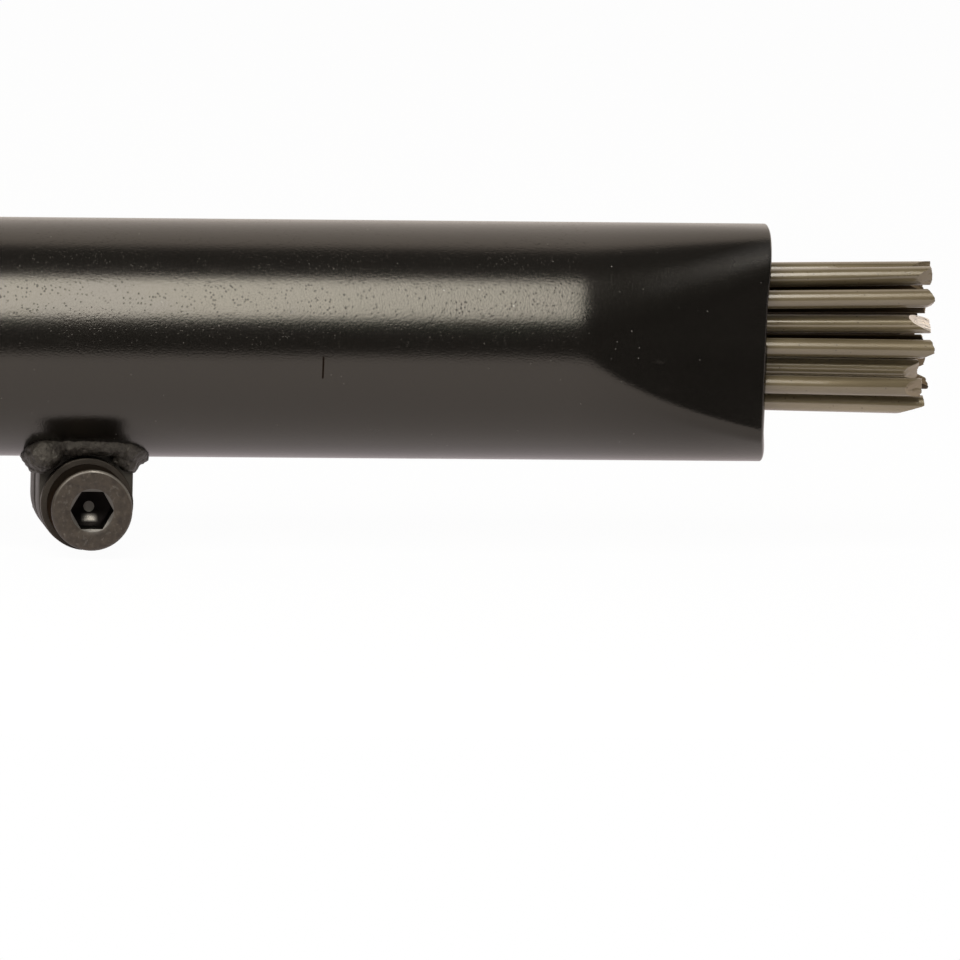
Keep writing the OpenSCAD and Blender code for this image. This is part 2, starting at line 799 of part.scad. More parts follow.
module valve_seat_block() {
  r = barrel_thread_d / 2 - slide_fit;
  color("#77746e") difference() {
    ring_x(r, valve_feed_d / 2, seat_block_x0, seat_block_x0 + valve_seat_len);
    translate([0, 0, feed_z]) bar_x(feed_d, seat_block_x0 - overrun, seat_block_x0 + valve_seat_len / 2);
    translate([seat_block_x0 - overrun, -feed_d / 2, 0]) cube([valve_seat_len / 2 + overrun, feed_d, feed_z]);
  }
}

valve_pocket_x1 = cover_x0 + valve_disc_thick + valve_disc_travel + 2 * face_gap;

module valve_cover() {
  r = barrel_thread_d / 2 - slide_fit;
  color("#77746e") difference() {
    bar_x(2 * r, cover_x0, cover_x0 + valve_cover_len);
    bar_x(valve_disc_od + 2 * face_gap, cover_x0 - overrun, valve_pocket_x1);
    for (i = [0:valve_port_count - 1])
      rotate([360 * i / valve_port_count, 0, 0]) translate([0, 0, valve_port_circle / 2])
        bar_x(valve_port_d, cover_x0 - overrun, cover_x0 + valve_cover_len + overrun);
  }
}

module valve_disc() {
  color("#a9a59c")
    ring_x(valve_disc_od / 2, valve_disc_id / 2, cover_x0 + face_gap, cover_x0 + face_gap + valve_disc_thick);
}

// Handle and inlet

front_collar_x = handle_x1 - front_collar_len;
grip_handle_x0 = handle_x0 + collar_len + collar_fall;
grip_handle_x1 = front_collar_x - front_collar_rise;

// The outside of the handle: rear collar, swelling grip, flare and front collar
function handle_outline() =
  let (slim = grip_d / 2, rear = handle_collar_d / 2, front = handle_front_d / 2)
  concat(
    [[handle_x0, 0], [handle_x0, rear - handle_edge], [handle_x0 + handle_edge, rear],
     [handle_x0 + collar_len, rear]],
    [for (i = [0:grip_steps])
      let (share = i / grip_steps)
      [grip_handle_x0 + share * (grip_handle_x1 - grip_handle_x0), slim + grip_swell * sin(180 * share)]],
    [for (i = [1:grip_steps])
      let (share = i / grip_steps)
      [grip_handle_x1 + share * front_collar_rise, slim + (front - slim) * (1 - cos(180 * share)) / 2]],
    [[handle_x1 - handle_edge, front], [handle_x1, front - handle_edge], [handle_x1, 0]]);

module handle() {
  boss_w = lever_w - 2 * lever_sheet - 2 * boss_side_gap;
  groove_x0 = valve_x + stem_boss_d / 2 + groove_after_boss;
  groove_pitch = (grip_handle_x1 - groove_x0) / groove_count;
  groove_w = groove_share * groove_pitch;
  color("#8f908f") difference() {
    union() {
      turned(handle_outline());
      translate([pivot_x, -boss_w / 2, lever_pivot_z]) bar_y(2 * boss_r, 0, boss_w);
      translate([pivot_x - boss_r, -boss_w / 2, 0]) cube([2 * boss_r, boss_w, lever_pivot_z]);
      translate([valve_x, 0, 0]) bar_z(stem_boss_d, 0, bush_top_z - stem_bush_flange - face_gap);
    }
    bar_x(inlet_thread_d, handle_x0 - overrun, handle_x0 + inlet_thread_len + overrun);
    bar_x(barrel_thread_d, handle_bore_x0, handle_x1 + overrun);
    translate([0, 0, supply_z]) bar_x(supply_d, handle_x0 + inlet_thread_len, valve_x);
    translate([0, 0, feed_z]) bar_x(feed_d, valve_x, handle_bore_x0 + overrun);
    translate([valve_x, 0, 0]) {
      bar_z(valve_bore, -handle_collar_d, valve_seat_z);
      bar_z(valve_port_bore, 0, bush_base_z);
      bar_z(stem_bush_d, bush_base_z, handle_collar_d);
      bar_z(cap_flange_d + 2 * face_gap, -handle_collar_d, cap_face_z);
    }
    translate([pivot_x, 0, lever_pivot_z]) bar_y(pin_d + slide_fit, -lever_w, lever_w);
    for (i = [0:groove_count - 1])
      let (x = groove_x0 + (i + 1 / 2) * groove_pitch)
      ring_x(handle_front_d, groove_floor_r(x), x - groove_w / 2, x + groove_w / 2);
    for (i = [0:flute_count - 1])
      rotate([360 * (i + 1 / 2) / flute_count, 0, 0])
        translate([front_collar_x, 0, handle_front_d / 2 + flute_d / 2 - flute_deep])
        bar_x(flute_d, -front_collar_rise, front_collar_len - handle_edge - overrun);
  }
}

// Radius at the floor of a grip groove at x
function groove_floor_r(x) =
  let (share = (x - grip_handle_x0) / (grip_handle_x1 - grip_handle_x0))
  grip_d / 2 + grip_swell * sin(180 * share) - groove_deep;

screen_seat_d = inlet_bore - 2 * screen_seat_step;

module inlet_bush() {
  thread = inlet_thread_d / 2 - slide_fit;
  end = handle_x0 + inlet_thread_len;
  color("#6f6c67") difference() {
    union() {
      rotate([0, 90, 0]) intersection() {
        hex_z(inlet_key, 0, inlet_hex_len - inlet_seal_wire / 2);
        rotate_extrude() polygon([
          [0, 0], [inlet_key / 2, 0], [inlet_key / 2 + handle_edge, handle_edge],
          [inlet_key / 2 + handle_edge, inlet_hex_len], [0, inlet_hex_len],
        ]);
      }
      bar_x(2 * thread, 0, end);
    }
    bar_x(inlet_bore, -overrun, inlet_bore_len);
    bar_x(screen_seat_d, 0, inlet_bore_len + screen_seat_len);
    bar_x(inlet_passage_d, 0, end + overrun);
  }
}

module inlet_seal() {
  outer = inlet_thread_d / 2 + slide_fit + inlet_seal_wire;
  color("#7a4a2a") ring_x(outer, inlet_thread_d / 2 + slide_fit,
    inlet_hex_len - inlet_seal_wire / 2 + slide_fit, inlet_hex_len - slide_fit);
}

// A perforated thimble whose flange stands in a seat behind the inlet's thread
module inlet_screen() {
  rim = screen_seat_d / 2 - slide_fit;
  outer = inlet_passage_d / 2 - loose_gap;
  inner = outer - screen_wall;
  flange_x1 = inlet_bore_len + screen_seat_len - face_gap;
  end = flange_x1 + screen_len;
  color("#b59a55") difference() {
    turned([
      [flange_x1 - screen_flange, inner], [flange_x1 - screen_flange, rim],
      [flange_x1, rim], [flange_x1, outer],
      [end, outer], [end, 0], [end - screen_wall, 0], [end - screen_wall, inner],
    ]);
    for (row = [1, 2], i = [0:screen_hole_count - 1])
      rotate([360 * (i + row / 2) / screen_hole_count, 0, 0])
        translate([flange_x1 + row * screen_hole_pitch, 0, 0]) bar_z(screen_hole_d, 0, inlet_bore);
  }
}

// Lever and throttle valve

// The lever seen from the side, with its pivot at the origin and its roof level
module lever_side() {
  roof = lever_roof + lever_sheet;
  circle(r = lever_rear_r);
  polygon([
    [0, -lever_rear_r], [lever_len, lever_nose_drop], [lever_len, roof],
    [-lever_rear_r + lever_sheet, roof], [-lever_rear_r, roof - lever_sheet], [-lever_rear_r, 0],
  ]);
}

// The lever seen from above, with a round nose
module lever_top(width, rear, length) {
  translate([rear, -width / 2]) square([length - width / 2 - rear, width]);
  translate([length - width / 2, 0]) circle(d = width);
}

module throttle_lever() {
  inside = lever_w - 2 * lever_sheet;
  color("#2a2927") translate([pivot_x, 0, lever_pivot_z]) rotate([0, -lever_rise, 0]) difference() {
    intersection() {
      rotate([90, 0, 0]) linear_extrude(lever_w, center = true) lever_side();
      translate([0, 0, -lever_len]) linear_extrude(2 * lever_len) lever_top(lever_w, -lever_len, lever_len);
    }
    translate([0, 0, -lever_len])
      linear_extrude(lever_len + lever_roof) lever_top(inside, -lever_len, lever_len - lever_sheet);
    bar_y(pin_d + 2 * slide_fit + face_gap / 2, -lever_w, lever_w);
  }
}

pin_y0 = -lever_w / 2 - loose_gap;
clip_y = lever_w / 2 + loose_gap;

module lever_pin() {
  color("#8b8983") translate([pivot_x, 0, lever_pivot_z]) difference() {
    union() {
      bar_y(pin_head_d, pin_y0 - pin_head_len, pin_y0);
      bar_y(pin_d, pin_y0, clip_y + pin_clip_thick + face_gap + pin_past_clip);
    }
    difference() {
      bar_y(pin_head_d, clip_y, clip_y + pin_clip_thick + face_gap);
      bar_y(pin_groove_d, clip_y - overrun, clip_y + pin_clip_thick + overrun);
    }
  }
}

module pin_clip() {
  y0 = clip_y + face_gap / 2;
  color("#5b5a58") translate([pivot_x, 0, lever_pivot_z]) difference() {
    bar_y(pin_clip_d, y0, y0 + pin_clip_thick);
    bar_y(pin_groove_d + face_gap, y0 - overrun, y0 + pin_clip_thick + overrun);
    translate([-pin_groove_d / 2 - face_gap / 2, y0 - overrun, -pin_clip_d])
      cube([pin_groove_d + face_gap, pin_clip_thick + 2 * overrun, pin_clip_d]);
  }
}

module throttle_valve() {
  color("#a39f96") translate([valve_x, 0, 0]) rotate_extrude() polygon([
    [0, poppet_z0], [poppet_d / 2 - small_chamfer, poppet_z0], [poppet_d / 2, poppet_z0 + small_chamfer],
    [poppet_d / 2, poppet_z0 + poppet_len], [stem_d / 2, poppet_z0 + poppet_len],
    [stem_d / 2, stem_top_z - small_chamfer], [stem_d / 2 - small_chamfer, stem_top_z], [0, stem_top_z],
  ]);
}

module stem_bush() {
  r = stem_bush_d / 2 - slide_fit;
  color("#b08d4a") translate([valve_x, 0, 0]) rotate_extrude() polygon([
    [stem_d / 2 + slide_fit, bush_base_z + face_gap], [r, bush_base_z + face_gap],
    [r, bush_top_z - stem_bush_flange], [stem_bush_flange_d / 2, bush_top_z - stem_bush_flange],
    [stem_bush_flange_d / 2, bush_top_z], [stem_d / 2 + slide_fit, bush_top_z],
  ]);
}

module valve_spring() {
  length = poppet_z0 - cap_top_z - 2 * face_gap;
  color("#6d6a64") translate([valve_x, 0, cap_top_z + face_gap])
    spring((valve_spring_d - valve_spring_wire) / 2, valve_spring_wire, length, valve_spring_turns);
}

module valve_cap() {
  under = cap_face_z - cap_washer - face_gap;
  color("#6f6c67") translate([valve_x, 0, 0]) difference() {
    union() {
      bar_z(cap_flange_d, under - cap_flange, under);
      bar_z(valve_bore - 2 * slide_fit, under, cap_top_z);
      bar_z(cap_spigot_d, cap_top_z, cap_top_z + cap_spigot_len);
    }
    hex_z(cap_key, under - cap_flange - overrun, cap_top_z - cap_flange);
  }
}

module cap_washer_ring() {
  color("#b0683f") translate([valve_x, 0, 0]) difference() {
    bar_z(cap_flange_d, cap_face_z - cap_washer - face_gap / 2, cap_face_z - face_gap / 2);
    bar_z(valve_bore + slide_fit, cap_face_z - 2 * cap_washer, cap_face_z + overrun);
  }
}

// What the joints need to be told
echo(needle_ways = [for (p = needle_list()) turned_way(needle_way(p[0], p[1]))]);
echo(needle_retreats = [for (p = needle_list()) retreat_shares[p[0]][p[1]] * needle_play]);
echo(stations = [
  ["mouth_x", mouth_x], ["tip_x", tip_x], ["tube_x0", tube_x0], ["lug_x", lug_x], ["shoulder_x", shoulder_x],
  ["spigot_x1", spigot_x1], ["holder_x1", holder_x1], ["seat_x", seat_x], ["neck_x0", neck_x0],
  ["pivot_x", pivot_x], ["valve_x", valve_x], ["retainer_x0", retainer_x0], ["cap_top_z", cap_top_z],
  ["stem_top_z", stem_top_z], ["grip_x0", grip_x0], ["grip_x1", grip_x1], ["front_bore_r", front_bore_r],
  ["press_slope", press_slope],
]);

front_tube();
near_lug();
far_lug();
lug_welds();
clamp_screw();
lock_washer();
clamp_nut();
needle_holder();
return_spring();
spring_retainer();
anvil();
anvil_buffer();
piston();
barrel();
barrel_seal();
exhaust_deflector();
deflector_seals();
deflector_ring();
barrel_grip();
valve_seat_block();
valve_disc();
valve_cover();
handle();
inlet_bush();
inlet_seal();
inlet_screen();
throttle_lever();
lever_pin();
pin_clip();
throttle_valve();
stem_bush();
valve_spring();
valve_cap();
cap_washer_ring();
for (n = [1:len(needle_list())])
  needle(n);
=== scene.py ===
"""Needle scaler, seen at its pressed front tube with the needle bundle and the clamp."""
import json
import math

import bmesh
import bpy
from mathutils import Matrix, Vector


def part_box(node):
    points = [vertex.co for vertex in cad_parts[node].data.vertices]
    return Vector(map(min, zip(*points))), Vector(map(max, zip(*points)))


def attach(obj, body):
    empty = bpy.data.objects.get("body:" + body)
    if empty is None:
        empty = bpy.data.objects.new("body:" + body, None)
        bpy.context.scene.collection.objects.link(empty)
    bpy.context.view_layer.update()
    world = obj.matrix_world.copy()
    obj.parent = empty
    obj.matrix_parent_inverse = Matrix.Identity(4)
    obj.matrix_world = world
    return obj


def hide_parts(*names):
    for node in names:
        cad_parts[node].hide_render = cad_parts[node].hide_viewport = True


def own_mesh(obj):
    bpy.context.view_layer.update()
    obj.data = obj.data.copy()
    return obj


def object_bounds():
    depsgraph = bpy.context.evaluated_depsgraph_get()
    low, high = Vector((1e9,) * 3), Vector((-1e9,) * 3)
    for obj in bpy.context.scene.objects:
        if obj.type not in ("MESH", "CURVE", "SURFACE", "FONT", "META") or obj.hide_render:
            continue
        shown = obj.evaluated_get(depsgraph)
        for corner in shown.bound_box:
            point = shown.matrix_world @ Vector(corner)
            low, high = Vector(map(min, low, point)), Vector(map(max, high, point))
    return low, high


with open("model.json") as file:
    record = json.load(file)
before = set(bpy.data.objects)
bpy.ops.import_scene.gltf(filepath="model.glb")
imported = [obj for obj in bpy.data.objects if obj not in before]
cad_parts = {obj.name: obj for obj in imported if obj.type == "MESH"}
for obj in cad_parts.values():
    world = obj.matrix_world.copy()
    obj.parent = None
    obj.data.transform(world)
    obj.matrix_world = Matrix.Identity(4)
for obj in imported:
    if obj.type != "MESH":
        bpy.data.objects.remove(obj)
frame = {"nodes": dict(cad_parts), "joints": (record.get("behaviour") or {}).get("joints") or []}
cad_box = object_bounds()
scene = bpy.context.scene
scene.view_settings.view_transform = "Standard"


# Studio: a long lens, a little above the tool and a little to its rear, one wide soft box above the lens,
# a dark room in front and a white sweep behind and below.
pixels_per_metre = 6240
frame_pixels = 960
sensor_mm = 36
mouth_pixel = (766.2, 342.4)
lens_azimuth, lens_elevation, lens_roll = map(math.radians, (-7, 7, 1.27))
stand_off = 3.0
mouth_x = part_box("front_tube")[1].x

towards_lens = Vector((math.sin(lens_azimuth) * math.cos(lens_elevation),
                       -math.cos(lens_azimuth) * math.cos(lens_elevation), math.sin(lens_elevation)))
lens_turn = (-towards_lens).to_track_quat("-Z", "Y").to_matrix() @ Matrix.Rotation(lens_roll, 3, "Z")
mouth_right = (mouth_pixel[0] - frame_pixels / 2) / pixels_per_metre
mouth_up = (frame_pixels / 2 - mouth_pixel[1]) / pixels_per_metre
frame_middle = Vector((mouth_x, 0, 0)) - lens_turn @ Vector((mouth_right, mouth_up, 0))
camera = bpy.data.objects.new("camera", bpy.data.cameras.new("camera"))
scene.collection.objects.link(camera)
camera.data.sensor_width = sensor_mm
camera.data.lens = sensor_mm * stand_off * pixels_per_metre / frame_pixels
camera.matrix_world = Matrix.Translation(frame_middle + stand_off * towards_lens) @ lens_turn.to_4x4()
scene.camera = camera


class Lead:
    """One output of a node; sums on it add Math nodes to its tree."""

    def __init__(self, socket):
        self.socket = socket

    def node(self, kind, feeds, out=0, stops=None, **settings):
        """A new node in the same tree: its settings first, then the values and leads of its sockets."""
        tree = self.socket.id_data
        made = tree.nodes.new(kind)
        for setting, value in settings.items():
            setattr(made, setting, value)
        for n, (at, colour) in enumerate(stops or ()):
            stop = made.color_ramp.elements[n] if n < 2 else made.color_ramp.elements.new(at)
            stop.position, stop.color = at, (*colour, 1)
        for name, value in feeds.items():
            if isinstance(value, Lead):
                tree.links.new(value.socket, made.inputs[name])
            else:
                made.inputs[name].default_value = value
        return Lead(made.outputs[out])

    def part(self, name):
        """Another output of the same node."""
        return Lead(self.socket.node.outputs[name])

    def calc(self, operation, *others):
        """A Math node on this lead and the others."""
        return self.node("ShaderNodeMath", dict(enumerate((self, *others))), operation=operation)

    def held(self, low=0.0, high=1.0):
        """Kept between two limits."""
        return self.node("ShaderNodeClamp", {"Value": self, "Min": low, "Max": high})

    def mix(self, first, second):
        """From the first colour at 0 to the second at 1."""
        return self.node("ShaderNodeMix", {0: self, 6: first, 7: second}, out=2, data_type="RGBA")

    def __add__(self, other):
        return self.calc("ADD", other)

    def __sub__(self, other):
        return self.calc("SUBTRACT", other)

    def __rsub__(self, other):
        return self.node("ShaderNodeMath", {0: other, 1: self}, operation="SUBTRACT")

    def __mul__(self, other):
        return self.calc("MULTIPLY", other)

    def __truediv__(self, other):
        return self.calc("DIVIDE", other)

    def __rtruediv__(self, other):
        return self.node("ShaderNodeMath", {0: other, 1: self}, operation="DIVIDE")

    def __gt__(self, other):
        return self.calc("GREATER_THAN", other)

    def __lt__(self, other):
        return self.calc("LESS_THAN", other)

    def __abs__(self):
        return self.calc("ABSOLUTE")

    __radd__ = __add__
    __rmul__ = __mul__


soft_box_left, soft_box_right, soft_box_distance = -0.9, 0.14, 1.0
soft_box_low, soft_box_high = math.radians(26), math.radians(65)
soft_box_level = 7.3
soft_box_width = soft_box_right - soft_box_left
soft_box_height = 2 * soft_box_distance * math.tan((soft_box_high - soft_box_low) / 2)
lamp = bpy.data.lights.new("soft_box", "AREA")
lamp.shape = "RECTANGLE"
lamp.color = (1, 0.97, 0.93)
lamp.size, lamp.size_y = soft_box_width, soft_box_height
lamp.energy = math.pi * soft_box_level * soft_box_width * soft_box_height
soft_box = bpy.data.objects.new("soft_box", lamp)
scene.collection.objects.link(soft_box)
lamp_elevation = (soft_box_low + soft_box_high) / 2
lamp_way = Vector((0, -math.cos(lamp_elevation), math.sin(lamp_elevation)))
lamp_x = mouth_x + (soft_box_left + soft_box_right) / 2
lamp_middle = Vector((lamp_x, 0, 0)) + soft_box_distance * lamp_way
lamp_turn = (-lamp_way).to_track_quat("-Z", "Y").to_matrix()
soft_box.matrix_world = Matrix.Translation(lamp_middle) @ lamp_turn.to_4x4()
soft_box.visible_camera = False

world = bpy.data.worlds.new("sweep")
scene.world = world
world.use_nodes = True
way = Lead(world.node_tree.nodes.new("ShaderNodeTexCoord").outputs["Generated"])
way = way.node("ShaderNodeSeparateXYZ", {0: way})
over = way.part("Z").calc("ARCTAN2", way.part("Y") * -1) * (1 / math.pi)
room = over.node("ShaderNodeValToRGB", {"Fac": over}, stops=(
    (0.0, (0.03, 0.03, 0.03)), (0.40, (0.04, 0.04, 0.04)), (0.57, (0.07, 0.07, 0.07)),
    (0.61, (0.97, 0.86, 0.78)), (1.0, (1, 0.90, 0.82))))
to_left = ((way.part("X") * -1 - 0.5) * 3).held()
room = to_left.mix(room, (0.08, 0.075, 0.07, 1))
seen = way.node("ShaderNodeLightPath", {}, out="Is Camera Ray")
sweep = seen.mix(room, (1, 1, 1, 1))
world.node_tree.links.new(sweep.socket, world.node_tree.nodes["Background"].inputs["Color"])

# From the tube's axis, the floor's front edge is seen that angle below the level.
floor_gap, floor_edge_angle, floor_reach = 0.0005, math.radians(8.7), 30
floor_z = cad_box[0].z - floor_gap
floor_front = floor_z / math.tan(floor_edge_angle)
floor_mesh = bpy.data.meshes.new("floor")
floor_mesh.from_pydata([
    (-floor_reach, floor_front, floor_z), (floor_reach, floor_front, floor_z),
    (floor_reach, floor_reach, floor_z), (-floor_reach, floor_reach, floor_z)], [], [(0, 1, 2, 3)])
floor = bpy.data.objects.new("floor", floor_mesh)
scene.collection.objects.link(floor)
pale = bpy.data.materials.new("pale_floor")
pale.use_nodes = True
pale_nodes = pale.node_tree.nodes
pale_shader = pale_nodes["Principled BSDF"]
pale_shader.inputs["Base Color"].default_value = (0.8, 0.8, 0.8, 1)
pale_shader.inputs["Roughness"].default_value = 0.9
seen_white, mirrored_white = 0.97, 0.585
ray = Lead(pale_nodes.new("ShaderNodeLightPath").outputs["Is Camera Ray"])
white = ray.node("ShaderNodeEmission", {
    "Color": ray.mix((1, 0.89, 0.92, 1), (1, 1, 1, 1)), "Strength": 1.0})
mirrored = ray.part("Is Glossy Ray").calc("MAXIMUM", ray.part("Is Transmission Ray"))
whiteness = (ray * seen_white).calc("MAXIMUM", mirrored * mirrored_white)
bright = ray.node("ShaderNodeMixShader", {0: whiteness, 1: Lead(pale_shader.outputs[0]), 2: white})
under = ray.node("ShaderNodeNewGeometry", {}, out="Backfacing")
clear = ray.node("ShaderNodeBsdfTransparent", {})
bright = ray.node("ShaderNodeMixShader", {0: under, 1: bright, 2: clear})
pale.node_tree.links.new(bright.socket, pale_nodes["Material Output"].inputs["Surface"])
floor_mesh.materials.append(pale)


# Inlet: a zinc plated hexagon bush of turned steel, screwed into the handle on a soft copper washer,
# with a brass cup behind its thread that keeps grit out of the valve.
def start(name):
    """A new material, and a lead of the piece's own coordinates in it."""
    material = bpy.data.materials.new(name)
    material.use_nodes = True
    return material, Lead(material.node_tree.nodes.new("ShaderNodeTexCoord").outputs["Object"])


def finish(material, feeds):
    """Puts values and leads on the material's shader."""
    shader = material.node_tree.nodes["Principled BSDF"]
    for name, value in feeds.items():
        if isinstance(value, Lead):
            material.node_tree.links.new(value.socket, shader.inputs[name])
        else:
            shader.inputs[name].default_value = value
    return material


def grain(at, scale, detail=3.0, stretch=(1, 1, 1)):
    """Noise from 0 to 1, with features of about 1 / scale metres."""
    if stretch != (1, 1, 1):
        at = at.node("ShaderNodeMapping", {"Vector": at, "Scale": stretch})
    return at.node("ShaderNodeTexNoise", {"Vector": at, "Scale": scale, "Detail": detail, "Roughness": 0.6})


def rounded(at, radius):
    """The surface's normal with its edges eased."""
    return at.node("ShaderNodeBevel", {"Radius": radius}, samples=6)


def edges(at, radius):
    """1 along outer and inner edges, 0 on open faces."""
    flat = at.node("ShaderNodeNewGeometry", {}, out="True Normal")
    same = at.node("ShaderNodeVectorMath", {0: rounded(at, radius), 1: flat}, out="Value",
                   operation="DOT_PRODUCT")
    return ((1 - same) * 6).held()


def relief(at, height, depth, normal=None):
    """A bump of that depth in metres."""
    feeds = {"Height": height, "Distance": depth, "Strength": 1.0}
    if normal:
        feeds["Normal"] = normal
    return at.node("ShaderNodeBump", feeds)


def turned_metal(name, colour, dark, roughness, edge=0.0003):
    """Machined metal: fine rings from the tool, a little stain, eased and brighter edges."""
    ring_pitch, ring_depth = 2600, 0.000004
    material, at = start(name)
    rings = grain(at, ring_pitch, 2, (1, 0.02, 0.02))
    stain = grain(at, 90, 5)
    worn = edges(at, edge)
    tone = (stain * 1.6 - 0.3).held().mix((*dark, 1), (*colour, 1))
    edge_colour = (*(min(1, c * 1.25) for c in colour), 1)
    return finish(material, {
        "Metallic": 1.0,
        "Base Color": (worn * 0.5).mix(tone, edge_colour),
        "Roughness": (roughness + (stain - 0.5) * 0.16 + (rings - 0.5) * 0.08 - worn * 0.06).held(0.08, 0.9),
        "Normal": relief(at, rings, ring_depth, rounded(at, edge))})


def dress(material, *nodes):
    """Gives CAD nodes a material."""
    for node in nodes:
        piece = frame["nodes"][node]
        piece.data.materials.clear()
        piece.data.materials.append(material)


zinc = turned_metal("zinc_plate", (0.62, 0.60, 0.54), (0.44, 0.43, 0.40), 0.34)
copper = turned_metal("soft_copper", (0.80, 0.42, 0.26), (0.50, 0.24, 0.15), 0.38)
brass = turned_metal("turned_brass", (0.78, 0.58, 0.27), (0.55, 0.38, 0.16), 0.30)
dress(zinc, "inlet_bush")
dress(copper, "inlet_seal")
dress(brass, "inlet_screen")


# Handle: an aluminium grip, sand cast and then tumbled, with grooves for the fingers and a fluted collar.
# The inlet and the barrel are screwed into its two ends.
cast, at = start("tumbled_casting")
pores = at.node("ShaderNodeTexVoronoi", {"Vector": at, "Scale": 1400.0}, feature="F1")
skin_lumps = grain(at, 900, 4)
cloud = grain(at, 45, 5)
worn = edges(at, 0.0007)
grime = ((grain(at, 160, 6) - 0.5) * 3).held()
tone = cloud.mix((0.40, 0.405, 0.41, 1), (0.60, 0.60, 0.595, 1))
tone = (grime * 0.45).mix(tone, (0.23, 0.225, 0.215, 1))
finish(cast, {
    "Metallic": 1.0,
    "Base Color": (worn * 0.6).mix(tone, (0.80, 0.80, 0.79, 1)),
    "Roughness": (0.47 + (skin_lumps - 0.5) * 0.25 - worn * 0.14).held(0.2, 0.8),
    "Normal": relief(at, skin_lumps + (pores * 2).held() * 0.5, 0.00006, rounded(at, 0.0008))})
dress(cast, "handle")


# Throttle: a pressed steel lever, stove enamelled black, on a plated pin with a spring clip, and the
# poppet valve under it with its brass bush, spring and plug.
enamel, at = start("lever_enamel")
orange_peel = grain(at, 700, 2)
worn = (edges(at, 0.0006) * 1.4 - grain(at, 260, 5) * 0.9).held()
rub = ((grain(at, 60, 4) - 0.52) * 5).held()
finish(enamel, {
    "Base Color": worn.mix((0.016, 0.0155, 0.015, 1), (0.36, 0.345, 0.32, 1)),
    "Metallic": worn,
    "Roughness": (0.30 + rub * 0.16 + (grain(at, 1800, 2) - 0.5) * 0.1).held(0.1, 0.8),
    "Normal": relief(at, orange_peel, 0.00002, rounded(at, 0.0007))})
steel = turned_metal("ground_steel", (0.60, 0.585, 0.56), (0.42, 0.41, 0.39), 0.26)
spring_wire = turned_metal("spring_wire", (0.42, 0.40, 0.37), (0.24, 0.22, 0.20), 0.33, edge=0.0001)
dress(enamel, "throttle_lever")
dress(zinc, "lever_pin", "valve_cap")
dress(spring_wire, "pin_clip")
dress(steel, "throttle_valve")
dress(brass, "stem_bush")
dress(copper, "cap_washer_ring")


def rule(name, *sizes):
    """A Geometry Nodes tree with a named input for each size, and a lead of each."""
    tree = bpy.data.node_groups.new(name, "GeometryNodeTree")
    tree.interface.new_socket("Drawn", in_out="INPUT", socket_type="NodeSocketGeometry")
    tree.interface.new_socket("Shape", in_out="OUTPUT", socket_type="NodeSocketGeometry")
    for size in sizes:
        tree.interface.new_socket(size, in_out="INPUT", socket_type="NodeSocketFloat")
    ends = tree.nodes.new("NodeGroupInput")
    return tree, *(Lead(ends.outputs[size]) for size in ("Drawn", *sizes))


def rule_end(shape, material):
    """Ends a tree in real geometry of one material."""
    shape = shape.node("GeometryNodeRealizeInstances", {0: shape})
    shape = shape.node("GeometryNodeSetMaterial", {0: shape, "Material": material})
    tree = shape.socket.id_data
    tree.links.new(shape.socket, tree.nodes.new("NodeGroupOutput").inputs[0])


def shaped(name, tree, sizes, drawn=None):
    """A plain mesh object that the tree makes from the drawn mesh and the sizes."""
    piece = bpy.data.objects.new(name, drawn or bpy.data.meshes.new(name))
    scene.collection.objects.link(piece)
    maker = piece.modifiers.new("rule", "NODES")
    maker.node_group = tree
    for item in tree.interface.items_tree:
        if item.name in sizes:
            maker[item.identifier] = float(sizes[item.name])
    graph = bpy.context.evaluated_depsgraph_get()
    mesh = bpy.data.meshes.new_from_object(
        piece.evaluated_get(graph), preserve_all_data_layers=True, depsgraph=graph)
    piece.modifiers.clear()
    piece.data = mesh
    mesh.name = name
    return piece


def sheet_of(lead, rows, columns):
    """A grid, and its two shares from 0 to 1: along its rows and its columns."""
    grid = lead.node("GeometryNodeMeshGrid", {
        "Size X": 1.0, "Size Y": 1.0, "Vertices X": rows, "Vertices Y": columns})
    spot = lead.node("ShaderNodeSeparateXYZ", {0: lead.node("GeometryNodeInputPosition", {})})
    return grid, spot + 0.5, spot.part("Y") + 0.5


def placed(grid, x, y, z, seam=0.000004):
    """Moves the grid's points to x, y, z, closes its seams and keeps its creases crisp."""
    spot = grid.node("ShaderNodeCombineXYZ", {0: x, 1: y, 2: z})
    shape = grid.node("GeometryNodeSetPosition", {"Geometry": grid, "Position": spot})
    return crisp(grid.node("GeometryNodeMergeByDistance", {0: shape, "Distance": seam}))


def crisp(shape, least=0.6):
    """Smooth shading, broken where faces meet at more than the least angle."""
    shape = shape.node("GeometryNodeSetShadeSmooth", {0: shape})
    bend = shape.node("GeometryNodeInputMeshEdgeAngle", {})
    return shape.node("GeometryNodeSetShadeSmooth", {0: shape, "Shade Smooth": bend < least}, domain="EDGE")


def span(share, low, high):
    """How far share has gone from low to high, from 0 to 1."""
    return ((share - low) * (1 / (high - low))).held()


